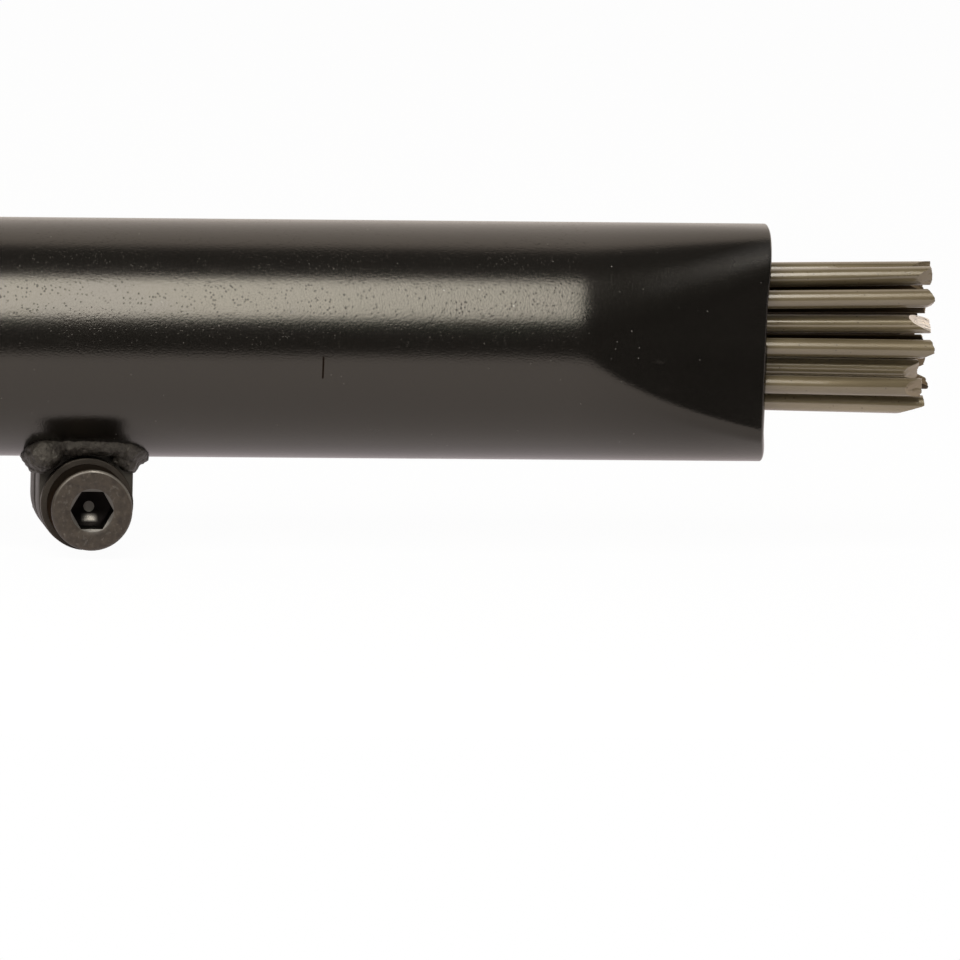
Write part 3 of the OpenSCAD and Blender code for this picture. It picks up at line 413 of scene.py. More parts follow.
coil_rule, _, length, coil_radius, wire_radius, turns = rule(
    "wound_wire", "Length", "Coil radius", "Wire radius", "Turns")
coil_points, closed_ends = 420, 0.72
line = length.node("GeometryNodeMeshLine", {"Count": coil_points})
share = length.node("GeometryNodeInputIndex", {}) * (1 / (coil_points - 1))
climb = share - (share * math.tau).calc("SINE") * (closed_ends / math.tau)
turn = share * turns * math.tau
mid_radius = coil_radius - wire_radius
wound = length.node("ShaderNodeCombineXYZ", {
    0: mid_radius * turn.calc("COSINE"), 1: mid_radius * turn.calc("SINE"),
    2: wire_radius + (length - wire_radius * 2) * climb})
wire = length.node("GeometryNodeSetPosition", {"Geometry": line, "Position": wound})
wire = length.node("GeometryNodeMeshToCurve", {0: wire})
section = length.node("GeometryNodeCurvePrimitiveCircle", {"Resolution": 14, "Radius": wire_radius})
wire = length.node("GeometryNodeCurveToMesh", {"Curve": wire, "Profile Curve": section, "Fill Caps": True})
rule_end(length.node("GeometryNodeSetShadeSmooth", {0: wire}), spring_wire)


def coil(name, node, axis, turns, wire):
    """A spring in the place of a CAD node, wound along X or Z."""
    low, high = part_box(node)
    along = 0 if axis == "X" else 2
    piece = shaped(name, coil_rule, {
        "Length": high[along] - low[along], "Coil radius": (high[1] - low[1]) / 2,
        "Wire radius": wire, "Turns": turns})
    foot = (low + high) / 2
    foot[along] = low[along]
    stand = Matrix.Rotation(math.radians(90), 4, "Y") if axis == "X" else Matrix.Identity(4)
    piece.data.transform(Matrix.Translation(foot) @ stand)
    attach(piece, "housing")
    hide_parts(node)
    return piece


travel = {joint["name"]: joint for joint in frame["joints"]}
valve_coil = coil("valve_coil", "valve_spring", "Z", 4, 0.0005)
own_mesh(valve_coil)


# Valve box: two ground steel blocks, clamped in the handle's front bore by the barrel's thread, and a loose
# disc between them that sends the air to each end of the piston.
dress(steel, "valve_seat_block", "valve_disc", "valve_cover")


# Barrel: a turned steel body, chemically blackened and oiled, with flats for a spanner and ports under the
# deflector. It is screwed into the handle on a rubber ring.
blued, at = start("blackened_steel")
rings = grain(at, 2400, 2, (1, 0.02, 0.02))
bloom = grain(at, 70, 5)
worn = (edges(at, 0.0006) * 1.3 - grain(at, 300, 4) * 0.8).held()
tone = bloom.mix((0.020, 0.019, 0.019, 1), (0.045, 0.041, 0.038, 1))
finish(blued, {
    "Base Color": worn.mix(tone, (0.40, 0.38, 0.35, 1)),
    "Metallic": (0.55 + worn * 0.45).held(),
    "Roughness": (0.36 + (bloom - 0.5) * 0.22 + (rings - 0.5) * 0.12).held(0.15, 0.8),
    "Normal": relief(at, rings, 0.000006, rounded(at, 0.0005))})
seal_rubber, at = start("seal_rubber")
finish(seal_rubber, {
    "Base Color": grain(at, 300).mix((0.010, 0.010, 0.010, 1), (0.022, 0.022, 0.021, 1)),
    "Roughness": 0.42 + grain(at, 1200) * 0.2})
dress(blued, "barrel", "spring_retainer")
dress(seal_rubber, "barrel_seal")


# Exhaust deflector: a blackened ring with slots that is turned by hand to send the exhaust away, on two
# rubber rings and held by a wire snap ring.
dress(blued, "exhaust_deflector")
dress(seal_rubber, "deflector_seals")
dress(spring_wire, "deflector_ring")


# Sleeve: a grip of black rubber, moulded with round ribs and pulled over the barrel.
# Dust stays in its grooves.
sleeve_low, sleeve_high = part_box("barrel_grip")
sleeve_radius = (sleeve_high.y - sleeve_low.y) / 2
sleeve_wall, sleeve_edge, rib_count, rib_deep = 0.00345, 0.0012, 8, 0.0012

rubber, at = start("moulded_rubber")
dust = grain(at, 120, 5)
flattened = at.node("ShaderNodeMapping", {"Vector": at, "Scale": (0, 1, 1)})
radius = at.node("ShaderNodeVectorMath", {0: flattened}, out="Value", operation="LENGTH")
sunk = ((sleeve_radius - radius) * (1 / rib_deep)).held()
dusty = (sunk * 0.5 + dust * 0.35 - 0.1).held()
finish(rubber, {
    "Base Color": dusty.mix((0.012, 0.012, 0.012, 1), (0.052, 0.050, 0.046, 1)),
    "Roughness": (0.58 + dust * 0.2 + sunk * 0.1).held(),
    "Normal": relief(at, grain(at, 2600, 3), 0.00003)})

sleeve_rule, _, first, last, bore, outer, ribs, deep, ease = rule(
    "ribbed_sleeve", "First", "Last", "Bore", "Outer", "Ribs", "Rib depth", "Edge")
grid, share, round_share = sheet_of(first, 420, 145)
go_out, back_in = span(share, 0.01, 0.85), span(share, 0.86, 0.99)
along = go_out.calc("MINIMUM", 1 - back_in)
wave = (along * ribs * math.tau).calc("COSINE")
rib = ((wave + 0.1) * -2.2 + 0.5).held()
rib = rib * rib * (3 - 2 * rib)
x = first + (last - first) * along
to_end = (x - first).calc("MINIMUM", last - x)
corner = 1 - (to_end / ease).held()
outside = outer - deep * (1 - rib) - ease * (1 - (1 - corner * corner).calc("SQRT"))
inward = span(share, 0.85, 0.86) + (1 - span(share, 0, 0.01))
r = outside + (bore - outside) * inward.held()
turn = round_share * math.tau
rule_end(placed(grid, x, r * turn.calc("SINE"), r * turn.calc("COSINE")), rubber)
sleeve = shaped("ribbed_sleeve", sleeve_rule, {
    "First": sleeve_low.x, "Last": sleeve_high.x, "Bore": sleeve_radius - sleeve_wall, "Outer": sleeve_radius,
    "Ribs": rib_count, "Rib depth": rib_deep, "Edge": sleeve_edge})
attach(sleeve, "housing")
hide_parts("barrel_grip")


# Striking parts: the piston, the anvil and the needle holder, turned from steel, hardened and ground.
# The anvil lands on an amber urethane buffer, and a wound spring sends the holder back.
amber, at = start("amber_urethane")
finish(amber, {
    "Base Color": grain(at, 150).mix((0.40, 0.17, 0.04, 1), (0.52, 0.26, 0.08, 1)),
    "Roughness": 0.32 + grain(at, 900) * 0.15,
    "Normal": rounded(at, 0.0003)})
dress(steel, "piston", "anvil", "needle_holder")
dress(amber, "anvil_buffer")
return_coil = coil("return_coil", "return_spring", "X", 9, 0.0009)
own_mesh(return_coil)


# Needles: 3 mm drawn spring steel wire with an upset head, ground to a rough chisel at the tip. Each one is
# loose in the holder. The tips are stained and chipped from the grinding.
needle_wire, at = start("needle_wire")
streak = grain(at, 2600, 3, (0.012, 1, 1))
stain = grain(at, 260, 5, (0.2, 1, 1))
scratch = grain(at, 5200, 2, (0.3, 1, 0.12))
pits = at.node("ShaderNodeTexVoronoi", {"Vector": at, "Scale": 900.0}, feature="F1")
pit = ((0.16 - pits).held() * 8).held()
ground = at.node("ShaderNodeAttribute", {}, out="Fac", attribute_name="ground")
# Painted shade: this attribute darkens the inner needles as if they lay in the bundle's shadow. It darkens
# the lit front needles a little, so that the second row, which lies in their shade, looks as lit as they are.
painted_shade = at.node("ShaderNodeAttribute", {}, out="Fac", attribute_name="painted_shade")
wire_tone = (stain * 1.5 - 0.25).held().mix((0.140, 0.111, 0.060, 1), (0.268, 0.222, 0.134, 1))
wire_tone = painted_shade.mix(wire_tone, (0.016, 0.008, 0.003, 1))
gleam = ((scratch - 0.5) * 1.6 + 0.5 + (ground - 1) * 1.2).held()
tip_tone = gleam.mix((0.34, 0.27, 0.18, 1), (0.98, 0.95, 0.90, 1))
tone = ground.mix(wire_tone, tip_tone)
rough = 0.38 + (stain - 0.5) * 0.20 + (streak - 0.5) * 0.16 + painted_shade * 0.2 - ground * 0.06 + pit * 0.3
finish(needle_wire, {
    "Metallic": (0.3 + ground * 0.7 + (painted_shade - 0.4) * 1.2).held(0.3, 1.0),
    "Coat Weight": ((1 - painted_shade) * (1 - ground) * (1.2 + stain * 0.6)).held(),
    "Coat Roughness": 0.12, "Coat IOR": 1.7, "Specular Tint": (1, 0.87, 0.66, 1),
    "Base Color": (pit * 0.8).mix(tone, (0.05, 0.035, 0.02, 1)),
    "Roughness": rough.held(0.12, 0.9),
    "Normal": relief(at, streak * (1 - ground) + scratch * ground * 2 - pit * 2, 0.000012)})

needle_rule, _, *leads = rule(
    "chisel_needle", "Length", "Wire radius", "Head radius", "Head length", "Long side", "Short side", "Edge",
    "Land", "Facet turn", "Rag", "Seed", "Polish", "Painted shade")
length, wire_r, head_r, head_len, long_side, short_side, edge = leads[:7]
land, facet_turn, rag, seed, polish, shade_amount = leads[7:]
grid, share, round_share = sheet_of(length, 84, 49)
cap = span(share, 0.3, 1.0)
for mark, amount in (("ground", (cap * 60).held() * polish), ("painted_shade", shade_amount)):
    grid = grid.node("GeometryNodeStoreNamedAttribute", {"Geometry": grid, "Name": mark, "Value": amount},
                     data_type="FLOAT", domain="POINT")
r = (head_r * span(share, 0, 0.05) - (head_r - wire_r) * span(share, 0.12, 0.15)) - wire_r * cap
turn = round_share * math.tau
y, z = r * turn.calc("SINE"), r * turn.calc("COSINE")
across = z * facet_turn.calc("COSINE") - y * facet_turn.calc("SINE")
short_cut = (across - edge - land * 0.5) * short_side
long_cut = (edge - land * 0.5 - across) * long_side
cut = short_cut.calc("MAXIMUM", long_cut)
chips_per_metre = 1100
spot = length.node("ShaderNodeCombineXYZ", {0: seed, 1: y * chips_per_metre, 2: z * chips_per_metre})
chip = length.node("ShaderNodeTexNoise", {"Vector": spot, "Scale": 1.0, "Detail": 3.0})
tip = length - head_len - cut.calc("MAXIMUM", 0.0) - rag * ((chip - 0.42) * 3).held()
x = head_len * (span(share, 0.06, 0.11) - 1) + tip * span(share, 0.16, 0.3)
rule_end(placed(grid, x, y, z), needle_wire)

needle_len, needle_radius, needle_head_radius, needle_head_len = 0.180, 0.0015, 0.0021, 0.003
needle_land, needle_rag, face_band = 0.0006, 0.00035, 0.0001
# Turn of the facets, edge off the middle in mm, slopes of the long and the short facet, polish and painted
# shade.
seen_tips = (
    (340, -0.5, 27, 57, 0.35, 0.4), (355, -0.35, 27, 72, 0.45, 0.4), (277, 0.2, 26, 75, 0.42, 0.4),
    (285, 0.0, 27, 70, 0.15, 0.4), (213, 0.5, 25, 60, 1.5, 0.0), (300, 0.0, 26, 70, 0.36, 0.0),
    (4, 0.35, 19, 75, 0.45, 0.0), (262, 0.4, 25, 75, 0.5, 0.4))
# The inner needles are painted almost black as shade.
inner_tip = (0.75, 25, 52, 0.4, 0.92)
inner_turns = (130, 15, 200, 290, 215, 95, 320, 40, 150, 275, 10)
tips = (*seen_tips, *((facets, *inner_tip) for facets in inner_turns))
for n, (facets, edge_mm, long_slope, short_slope, polished, shade_share) in enumerate(tips, 1):
    node = f"needle_{n:02d}"
    aim = Vector(travel[f"{node}_slide"]["axis"]).normalized()
    points = [v.co for v in frame["nodes"][node].data.vertices]
    rearmost = min(p.dot(aim) for p in points)
    face = [p for p in points if p.dot(aim) < rearmost + face_band]
    middle = Vector([(min(p[i] for p in face) + max(p[i] for p in face)) / 2 for i in range(3)])
    seat = middle + needle_head_len * aim
    piece = shaped(f"{node}_wire", needle_rule, {
        "Length": needle_len, "Wire radius": needle_radius, "Head radius": needle_head_radius,
        "Head length": needle_head_len, "Long side": 1 / math.tan(math.radians(long_slope)),
        "Short side": 1 / math.tan(math.radians(short_slope)), "Edge": edge_mm / 1000, "Land": needle_land,
        "Facet turn": math.radians(facets), "Rag": needle_rag, "Seed": n * 7.3, "Polish": polished,
        "Painted shade": shade_share})
    tilt = Matrix.Rotation(math.atan2(aim.y, aim.x), 4, "Z") @ Matrix.Rotation(-math.asin(aim.z), 4, "Y")
    piece.data.transform(Matrix.Translation(seat) @ tilt)
    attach(piece, f"body_{node}")
    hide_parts(node)


# Front tube: drawn steel tube, dipped black, its mouth pressed flat on two sides so that the needles leave
# it as a flat bundle. A slit in its rear end lets the clamp close on the barrel.
dip_gloss = (1, 0.945, 0.83, 1)
ironed_back, sheen_back, dimming_back = 0.030, 0.024, 0.034
ridge_height, ridge_slope, sheen_half = 0.0158, 0.25, 0.0022
nick_x, nick_half, nick_low, nick_high = mouth_x - 0.0735, 0.00017, -0.0042, -0.0006

dip, at = start("black_dip")
fine = grain(at, 3000, 2)
blotch = grain(at, 70, 4)
patchy = ((grain(at, 110, 3) - 0.38) * 4).held()
specks = at.node("ShaderNodeTexVoronoi", {"Vector": at, "Scale": 700.0}, feature="F1")
chance = at.node("ShaderNodeTexWhiteNoise", {"Vector": specks.part("Position")})
holes = at.node("ShaderNodeTexVoronoi", {"Vector": at, "Scale": 2300.0}, feature="F1")
luck = at.node("ShaderNodeTexWhiteNoise", {"Vector": holes.part("Position")})
spot = at.node("ShaderNodeSeparateXYZ", {0: at})
from_mouth, height = spot - mouth_x, spot.part("Z")
ironed = (from_mouth > -ironed_back) * 0.8
speck = ((chance * 0.08 - specks) * 30).held() * (chance > 0.8 - ironed * 0.3)
hole = ((luck * 0.43 - holes) * 7).held() * (luck > 0.72) * (0.45 + patchy * 0.55) * (1 - ironed)
hole = hole * (height * 400 + 0.6).held()
ridge = ridge_height + from_mouth * ridge_slope
# Painted sheen: a lighter band along the ridge of the press near the mouth, painted as the glint of the soft
# box's edge.
ridge_sheen = ((sheen_half - abs(height - ridge)) * 600).held() * ((from_mouth + sheen_back) * 60).held()
ridge_sheen = ridge_sheen * (0.4 + patchy * 0.4)
# Painted shade: dark metal on the lower side near the mouth, so that it reflects less.
lower_dimming = ((from_mouth + dimming_back) * 50).held() * (0.5 - height * 250).held() * 0.2
nick = ((nick_half - abs(spot - nick_x)) * 20000).held() * (height > nick_low) * (height < nick_high)
nick = nick * (spot.part("Y") < 0)
smear = ((grain(at, 900, 3, (0.12, 1, 1)) - 0.62) * 8).held() * ((blotch - 0.45) * 4).held()
tone = (smear * 0.35).mix((0.0056, 0.0049, 0.0041, 1), (0.016, 0.0145, 0.0125, 1))
tone = ridge_sheen.mix(tone, (0.030, 0.0285, 0.0275, 1))
tone = speck.mix(tone, ironed.mix((0.09, 0.085, 0.076, 1), (0.28, 0.27, 0.25, 1)))
rough = 0.20 + (blotch - 0.5) * 0.05 + (fine - 0.5) * 0.12 + smear * 0.1 + speck * 0.3
finish(dip, {
    "Base Color": nick.mix(tone, (0.012, 0.008, 0.005, 1)),
    "Metallic": nick.calc("MAXIMUM", hole * 0.5 + lower_dimming),
    "Roughness": rough.held(0.1, 0.9),
    "IOR": 1.62, "Specular Tint": dip_gloss,
    "Normal": relief(at, fine * 2.2 + speck * 0.5 - hole * 1.9, 0.00001)})

tube_rule, _, *leads = rule(
    "pressed_tube", "Rear", "Mouth", "Radius", "Wall", "Press length", "Press slope", "Bend", "Mouth half",
    "Bow", "Lean", "Upper lean", "Lean from", "Turn", "Soft shoulder", "Shoulder fade", "Sharp shoulder",
    "Lip", "Slit", "Slit end", "Slit hole")
rear, front, outer, wall, press, slope, bend, mouth_half = leads[:8]
bow, lean, upper_lean, lean_from, turned_by, soft, fade, sharp = leads[8:16]
lip, slit, slit_end, slit_hole = leads[16:]
grid, share, round_share = sheet_of(rear, 300, 241)
go_out, over_lip, go_back = span(share, 0.02, 0.49), span(share, 0.49, 0.53), span(share, 0.53, 1.0)
along = go_out.calc("MINIMUM", 1 - go_back)
along = span(along, 0, 0.3) * 0.7 + span(along, 0.3, 1) * 0.3
half_turn = over_lip * math.pi
inside = (1 - span(share, 0, 0.02)) + (1 - half_turn.calc("COSINE")) * 0.5
x = rear + (front - lip - rear) * along + lip * half_turn.calc("SINE")
past = x - front + press
depth = slope * (past + (past * past + bend * bend).calc("SQRT")) * 0.5
r = outer - wall * inside
turn = round_share * math.tau
y, z = r * turn.calc("SINE"), r * turn.calc("COSINE")
high = abs(z)
easing = sharp + (soft - depth * fade - sharp) * (z > 0)
arc = outer / (depth / easing + 1)
spread = (2 * outer / (easing + depth) - 1).calc("SQRT")
beyond = (high - depth * spread).calc("MAXIMUM", 0.0)
bare_arc = arc - wall * inside
left = (bare_arc * bare_arc - beyond * beyond).calc("MAXIMUM", 0.0)
pressed = outer - depth - arc + left.calc("SQRT")
wide = pressed + (abs(y) - pressed) * (high > spread * (easing + depth) / outer * r)
drawn_back = (wide / mouth_half).held().calc("MAXIMUM", z > 0)
above = (z - lean_from).calc("MAXIMUM", 0.0)
near_mouth = (past / press).held()
x = x + (lean * z + upper_lean * above - bow * drawn_back * drawn_back) * near_mouth * near_mouth
y = y.calc("SIGN") * wide
cosine, sine = turned_by.calc("COSINE"), turned_by.calc("SINE")
tube_shape = placed(grid, x, y * cosine - z * sine, y * sine + z * cosine)
saw_size = rear.node("ShaderNodeCombineXYZ", {0: (slit_end - rear) * 2, 1: slit, 2: outer * 2})
saw = rear.node("GeometryNodeMeshCube", {"Size": saw_size})
drill = rear.node("GeometryNodeMeshCylinder", {"Vertices": 48, "Radius": slit_hole * 0.5, "Depth": outer * 2})
for cutter, cutter_x in ((saw, rear), (drill, slit_end)):
    spot = rear.node("ShaderNodeCombineXYZ", {0: cutter_x, 1: 0.0, 2: outer * -1})
    cutter = rear.node("GeometryNodeTransform", {0: cutter, "Translation": spot})
    tube_shape = rear.node("GeometryNodeMeshBoolean", {"Mesh 1": tube_shape, "Mesh 2": cutter},
                           operation="DIFFERENCE")
rule_end(crisp(tube_shape), dip)

tube_low, tube_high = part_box("front_tube")
tube_radius = (tube_high.z - tube_low.z) / 2
lug_low, lug_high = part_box("near_lug")
slit_past_lug = 0.012
tube = shaped("pressed_tube", tube_rule, {
    "Rear": tube_low.x, "Mouth": tube_high.x, "Radius": tube_radius, "Wall": 0.0021, "Press length": 0.0311,
    "Press slope": 0.2363, "Bend": 0.0015, "Mouth half": 0.0117, "Bow": 0.00147, "Lean": 0.035,
    "Upper lean": 0.05, "Lean from": 0.006, "Turn": math.radians(-5.5), "Soft shoulder": 0.020,
    "Shoulder fade": 1.85, "Sharp shoulder": 0.0012, "Lip": 0.0004, "Slit": 0.0016,
    "Slit end": lug_high.x + slit_past_lug, "Slit hole": 0.005})
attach(tube, "nose")
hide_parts("front_tube")


# Clamp lugs: two stubs of flat bar, welded under the slit end of the tube and dipped with it. The welds are
# thick and lumpy, run round three sides of each lug, and end in a blob.
def plain(piece, material):
    """Turns a piece's modifiers into plain mesh of one material."""
    graph = bpy.context.evaluated_depsgraph_get()
    mesh = bpy.data.meshes.new_from_object(piece.evaluated_get(graph), depsgraph=graph)
    piece.modifiers.clear()
    piece.data = mesh
    mesh.name = piece.name
    mesh.materials.clear()
    mesh.materials.append(material)
    mesh.shade_smooth()
    mesh.set_sharp_from_angle(angle=math.radians(40))


def eased(name, node, radius, material, body):
    """A copy of a CAD node with its sharp edges rounded, in its place."""
    shell = bmesh.new()
    shell.from_mesh(frame["nodes"][node].data)
    bmesh.ops.remove_doubles(shell, verts=shell.verts, dist=0.000002)
    bmesh.ops.dissolve_limit(shell, angle_limit=math.radians(1), verts=shell.verts, edges=shell.edges)
    mesh = bpy.data.meshes.new(name)
    shell.to_mesh(mesh)
    shell.free()
    if "custom_normal" in mesh.attributes:
        mesh.attributes.remove(mesh.attributes["custom_normal"])
    piece = bpy.data.objects.new(name, mesh)
    scene.collection.objects.link(piece)
    bevel = piece.modifiers.new("edges", "BEVEL")
    bevel.width, bevel.segments = radius, 3
    bevel.limit_method, bevel.angle_limit = "ANGLE", math.radians(35)
    plain(piece, material)
    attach(piece, body)
    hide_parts(node)


bar_dip, at = start("bar_dip")
mill = grain(at, 600, 4)
finish(bar_dip, {
    "Base Color": mill.mix((0.010, 0.009, 0.007, 1), (0.040, 0.035, 0.028, 1)),
    "Roughness": (0.52 + (mill - 0.5) * 0.3).held(0.2, 0.9), "Specular Tint": dip_gloss,
    "Normal": relief(at, mill, 0.00002)})
lug_edge = 0.0005
eased("near_lug_bar", "near_lug", lug_edge, bar_dip, "nose")
eased("far_lug_bar", "far_lug", lug_edge, bar_dip, "nose")

weld_dip, at = start("weld_dip")
crust = ((grain(at, 1300, 5) - 0.5) * 1.8 + 0.5).held()
finish(weld_dip, {
    "Base Color": crust.mix((0.009, 0.0078, 0.0064, 1), (0.046, 0.0400, 0.033, 1)),
    "Roughness": (0.48 + (crust - 0.5) * 0.3).held(0.2, 0.9), "Specular Tint": dip_gloss,
    "Normal": relief(at, crust, 0.00022)})

weld_rule, drawn, voxel, lump, clear_of, seed = rule("weld_bead", "Voxel", "Lump", "Tube core", "Seed")
size = drawn.node("GeometryNodeInputNamedAttribute", {"Name": "size"}, data_type="FLOAT")
drops = drawn.node("GeometryNodeMeshToPoints", {"Mesh": drawn})
drops = drops.node("GeometryNodePointsToVolume", {"Points": drops, "Radius": size, "Voxel Size": voxel},
                   resolution_mode="VOXEL_SIZE")
bead = drops.node("GeometryNodeVolumeToMesh", {"Volume": drops, "Voxel Size": voxel, "Threshold": 0.1},
                  resolution_mode="VOXEL_SIZE")
spot = drawn.node("GeometryNodeInputPosition", {})
spot = drawn.node("GeometryNodeBlurAttribute", {"Value": spot, "Iterations": 3}, data_type="FLOAT_VECTOR")
ripple = drawn.node("ShaderNodeTexNoise", {"Vector": spot, "W": seed, "Scale": 620.0, "Detail": 4.0},
                    noise_dimensions="4D")
outward = drawn.node("GeometryNodeInputNormal", {})
swell = drawn.node("ShaderNodeVectorMath", {0: outward, "Scale": lump * (ripple - 0.5)}, operation="SCALE")
spot = drawn.node("ShaderNodeVectorMath", {0: spot, 1: swell}, operation="ADD")
spot = drawn.node("ShaderNodeSeparateXYZ", {0: spot})
y, z = spot.part("Y"), spot.part("Z")
reach = (y * y + z * z).calc("SQRT")
push = clear_of / reach.calc("MINIMUM", clear_of)
spot = drawn.node("ShaderNodeCombineXYZ", {0: spot, 1: y * push, 2: z * push})
bead = drawn.node("GeometryNodeSetPosition", {"Geometry": bead, "Position": spot})
rule_end(drawn.node("GeometryNodeSetShadeSmooth", {0: bead}), weld_dip)

# Drops of weld in mm: along the tube from the lug's middle, across, out from the tube's axis, and radius.
weld_runs = (
    ((-8.2, 2.6, 18.8, 1.7), (-8.2, 5.0, 18.9, 2.0), (-7.0, 9.6, 20.0, 2.8), (-4.5, 9.6, 18.3, 0.9),
     (-4.1, 9.6, 18.3, 1.0), (-3.0, 9.4, 18.6, 1.9), (0.0, 9.5, 18.6, 1.75), (2.5, 9.4, 18.6, 1.85),
     (4.2, 9.2, 18.6, 1.65), (5.8, 8.8, 18.8, 2.0), (7.3, 7.9, 18.9, 1.9), (8.3, 5.0, 18.8, 1.8),
     (8.2, 2.6, 18.8, 1.7)),
    ((-7.7, 2.4, 20.3, 1.25), (-7.7, 5.2, 20.4, 1.35), (-7.3, 7.4, 20.7, 1.8)),
    ((5.4, 8.2, 20.0, 1.5), (6.5, 7.7, 20.6, 1.5), (7.4, 5.0, 20.4, 1.3), (7.4, 2.4, 20.3, 1.3)))
lug_x = (lug_low.x + lug_high.x) / 2
drop_gap_mm, drop_wobble = 0.4, 0.04
drops_at, drop_sizes = [], []
for side in (-1, 1):
    for run in weld_runs:
        for this, following in zip(run, run[1:]):
            steps = max(2, round(math.dist(this[:2], following[:2]) / drop_gap_mm))
            for k in range(steps + 1):
                x, y, out, r = (a + (b - a) * k / steps for a, b in zip(this, following))
                drops_at.append((lug_x + x / 1000, side * y / 1000, -math.sqrt(out * out - y * y) / 1000))
                drop_sizes.append(r / 1000 * (1 + drop_wobble * math.sin(len(drops_at) * 1.7)))
path = bpy.data.meshes.new("weld_path")
path.from_pydata(drops_at, [], [])
path.attributes.new("size", "FLOAT", "POINT").data.foreach_set("value", drop_sizes)
welds = shaped("weld_beads", weld_rule, {
    "Voxel": 0.00022, "Lump": 0.0013, "Tube core": 0.0182, "Seed": 4}, path)
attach(welds, "nose")
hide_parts("lug_welds")


# Clamp screw: a socket head screw of black oxide steel, worn at its rim, the wear kept to the upper and right
# rim as a painted highlight. It draws the two lugs together, with a spring washer under its head and a
# hexagon nut behind.
oxide, at = start("black_oxide")
bloom = grain(at, 420, 5)
worn = (edges(at, 0.0003) * 1.2 - grain(at, 700, 4) * 0.7).held()
tone = bloom.mix((0.0065, 0.0053, 0.0042, 1), (0.021, 0.0172, 0.013, 1))
finish(oxide, {
    "Base Color": worn.mix(tone, (0.14, 0.12, 0.095, 1)),
    "Metallic": (0.2 + worn * 0.6).held(), "Specular Tint": (1, 0.88, 0.74, 1),
    "Roughness": (0.52 + (bloom - 0.5) * 0.3).held(0.2, 0.8),
    "Normal": relief(at, grain(at, 2600, 3), 0.000008, rounded(at, 0.0002))})
eased("spring_washer", "lock_washer", 0.0002, oxide, "nose")
eased("hexagon_nut", "clamp_nut", 0.00025, oxide, "nose")

screw_low, screw_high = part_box("clamp_screw")
screw_mid = (screw_low + screw_high) / 2
screw_len = screw_high.y - screw_low.y
head_r, head_h, rim, seat_edge, face_ring = 0.0065, 0.008, 0.00055, 0.0003, 0.0046
shank_r, core_r, thread_pitch, end_edge = 0.00395, 0.0034, 0.00125, 0.0004
thread_rows, thread_len, thread_end = 90, 0.009, 0.0005
key_half, key_deep, key_mouth = 0.003, 0.0044, 0.00355
drill_step, drill_edge, drill_deep, drill_flat = 0.0001, 0.0004, 0.0012, 0.00086
brim_from, brim_to, sunk_from = 0.00004, 0.0006, 0.0003
glint_half, glint_top, glint_low = 0.0014, 0.0010, 0.0024
sheen_above, sheen_left = 0.001, 0.002

screw_black, at = start("screw_black")
from_face = at.node("ShaderNodeMapping", {
    "Vector": at, "Location": (-screw_mid.x, -screw_low.y, -screw_mid.z)})
spot = at.node("ShaderNodeSeparateXYZ", {0: from_face})
right, deep, up = spot.part("X"), spot.part("Y"), spot.part("Z")
flattened = at.node("ShaderNodeMapping", {"Vector": from_face, "Scale": (1, 0, 1)})
off_axis = at.node("ShaderNodeVectorMath", {0: flattened}, out="Value", operation="LENGTH")
# Painted shade: the socket is made almost black dark metal.
sunk = ((deep - sunk_from) * 3000).held() * (off_axis < key_half * 1.2)
side = ((deep - rim * 0.8) * 4000).held() * (1 - sunk)
# Painted highlight: a lighter spot on the flat at the bottom of the drill.
lit_drill_spot = sunk * (deep > key_deep + drill_deep * 0.8) * (off_axis < drill_flat)
low_down = up * -1
# Painted reflection: a lighter, smoother patch on the socket's lower wall.
socket_glint = sunk * ((glint_half - abs(right)) * 1500).held()
socket_glint = socket_glint * ((low_down - glint_top) * 1800).held() * ((glint_low - low_down) * 2500).held()
# Painted highlight: the cone at the socket's mouth is lighter and more metallic.
lit_brim = (off_axis < key_mouth) * (deep > brim_from) * (deep < brim_to)
bloom = grain(at, 380, 5)
mottle = ((grain(at, 900, 4) - 0.5) * 2.2 + 0.5).held()
scuff = ((grain(at, 1500, 4) - 0.56) * 6).held() * ((bloom - 0.35) * 3).held()
# Rim wear, kept mostly to the upper and right rim as a painted highlight.
rim_wear_and_sheen = ((off_axis - head_r + rim) / rim).held() * ((rim - deep) / rim).held()
rim_wear_and_sheen = (rim_wear_and_sheen * 2.8 - 0.35 - grain(at, 900, 3) * 0.6).held()
rim_wear_and_sheen = rim_wear_and_sheen * ((up - sheen_above) * 600).held(0.2, 1.0) * ((right + sheen_left) * 400).held(0.3, 1.0)
worn = (scuff * 0.35).calc("MAXIMUM", rim_wear_and_sheen) * (1 - sunk)
tone = mottle.mix((0.022, 0.0165, 0.0115, 1), (0.056, 0.043, 0.030, 1))
tone = worn.mix(tone, (0.32, 0.295, 0.255, 1))
# Painted shade in the socket, then painted reflections on its lower wall and at its mouth.
tone = sunk.mix(tone, (0.005, 0.004, 0.0035, 1))
tone = socket_glint.mix(tone, (0.100, 0.094, 0.083, 1))
tone = lit_brim.mix(tone, (0.095, 0.088, 0.078, 1))
skin = relief(at, grain(at, 2400, 3) + scuff * 0.5, 0.000008)
finish(screw_black, {
    "Base Color": lit_drill_spot.mix(tone, (0.15, 0.14, 0.12, 1)),
    "Metallic": (0.25 + worn * 0.6 + sunk * 0.7 - lit_drill_spot * 0.6 + lit_brim * 0.4).held(),
    "Roughness": (0.44 + (mottle - 0.5) * 0.12 - worn * 0.14 - socket_glint * 0.2).held(0.12, 0.8),
    "Normal": skin})
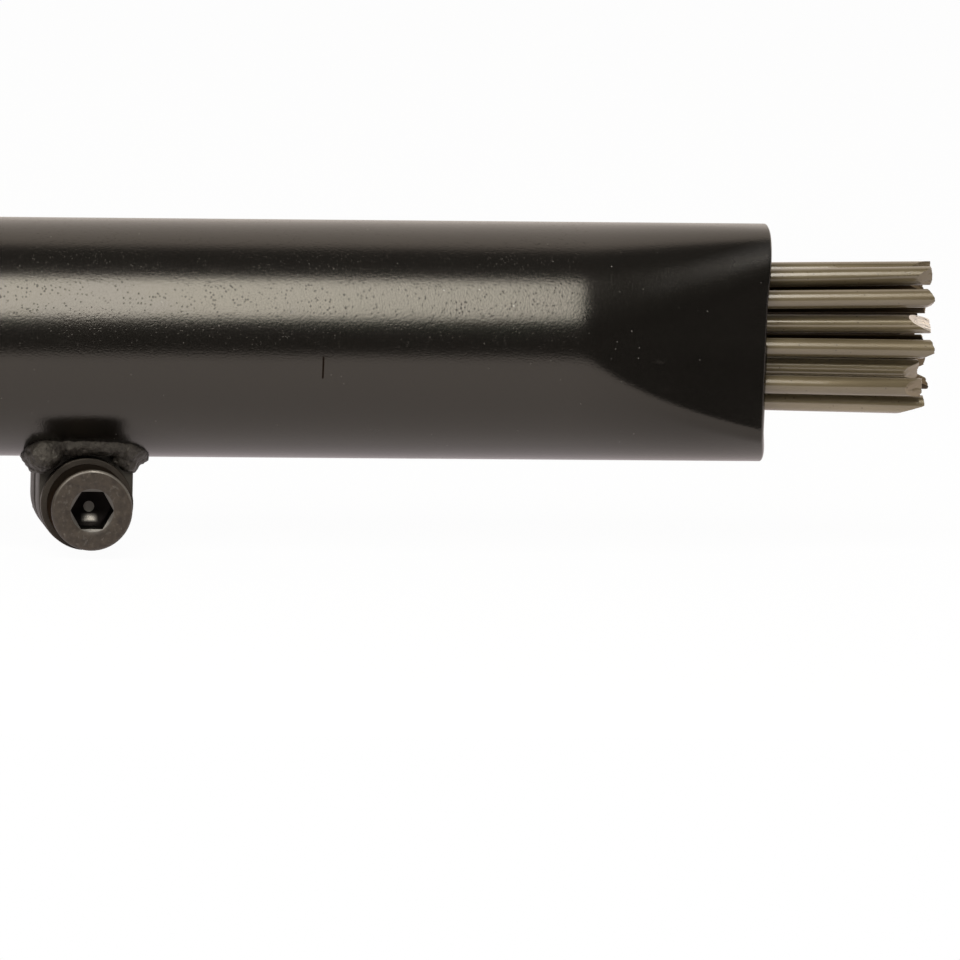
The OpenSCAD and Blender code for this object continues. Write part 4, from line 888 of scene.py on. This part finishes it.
# Painted shade: the head's side gets its own darker shader, whose reflections are tinted dark.
side_shade = at.node("ShaderNodeBsdfPrincipled", {
    "Base Color": mottle.mix((0.033, 0.025, 0.018, 1), (0.051, 0.039, 0.028, 1)), "Metallic": 1.0,
    "Roughness": (0.55 + (mottle - 0.5) * 0.16).held(0.2, 0.9), "Specular Tint": (0.27, 0.215, 0.165, 1),
    "Normal": skin})
screw_nodes = screw_black.node_tree.nodes
clean = Lead(screw_nodes["Principled BSDF"].outputs[0])
both = at.node("ShaderNodeMixShader", {0: side, 1: clean, 2: side_shade})
screw_black.node_tree.links.new(both.socket, screw_nodes["Material Output"].inputs["Surface"])


def lofted(name, rings, material):
    """A closed skin over rings of points, from a first single point to a last one."""
    shell = bmesh.new()
    rows = [[shell.verts.new(p) for p in points] for points in rings]
    for a, b in zip(rows, rows[1:]):
        for k in range(max(len(a), len(b))):
            corners = [a[k % len(a)], a[(k + 1) % len(a)], b[(k + 1) % len(b)], b[k % len(b)]]
            shell.faces.new(dict.fromkeys(corners))
    bmesh.ops.recalc_face_normals(shell, faces=shell.faces)
    piece = bpy.data.objects.new(name, bpy.data.meshes.new(name))
    shell.to_mesh(piece.data)
    shell.free()
    scene.collection.objects.link(piece)
    plain(piece, material)
    return piece


def ring(deep, radius, six_sided=False, threaded=False, steps=72):
    """One ring round the screw, that far behind the face of its head. A deep of None puts it on the cone
    at the socket's mouth."""
    points = []
    for k in range(steps):
        turn = math.tau * k / steps
        r = radius
        if six_sided:
            r = radius / math.cos(turn % (math.pi / 3) - math.pi / 6)
        if threaded:
            phase = (deep / thread_pitch - k / steps) % 1
            r = core_r + (radius - core_r) * min(1, 2.6 * abs(phase - 0.5))
        back = (key_mouth - r) * 0.6 if deep is None else deep
        points.append(Vector((r * math.cos(turn) + screw_mid.x, screw_low.y + back,
                              r * math.sin(turn) + screw_mid.z)))
    return points


def point(deep):
    """The point on the screw's axis, that far behind the face of its head."""
    return [Vector((screw_mid.x, screw_low.y + deep, screw_mid.z))]


thread_back = screw_len - thread_end
rings = [point(screw_len), ring(screw_len, core_r - end_edge), ring(screw_len - end_edge, core_r)]
rings += [ring(thread_back - thread_len * k / thread_rows, shank_r, threaded=True)
          for k in range(thread_rows + 1)]
rings += [ring(thread_back - thread_len - end_edge, shank_r), ring(head_h, shank_r),
          ring(head_h, head_r - seat_edge), ring(head_h - seat_edge, head_r)]
rings += [ring(rim * (1 - math.sin(a)), head_r - rim * (1 - math.cos(a)))
          for a in (math.pi / 2 * k / 5 for k in range(6))]
rings += [ring(0, face_ring), ring(0, key_mouth), ring(None, key_half, True), ring(key_deep, key_half, True),
          ring(key_deep + drill_step, key_half - drill_edge), ring(key_deep + drill_deep, drill_flat),
          ring(key_deep + drill_deep, drill_flat / 2), point(key_deep + drill_deep)]
screw = lofted("clamp_cap_screw", rings, screw_black)
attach(screw, "nose")
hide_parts("clamp_screw")
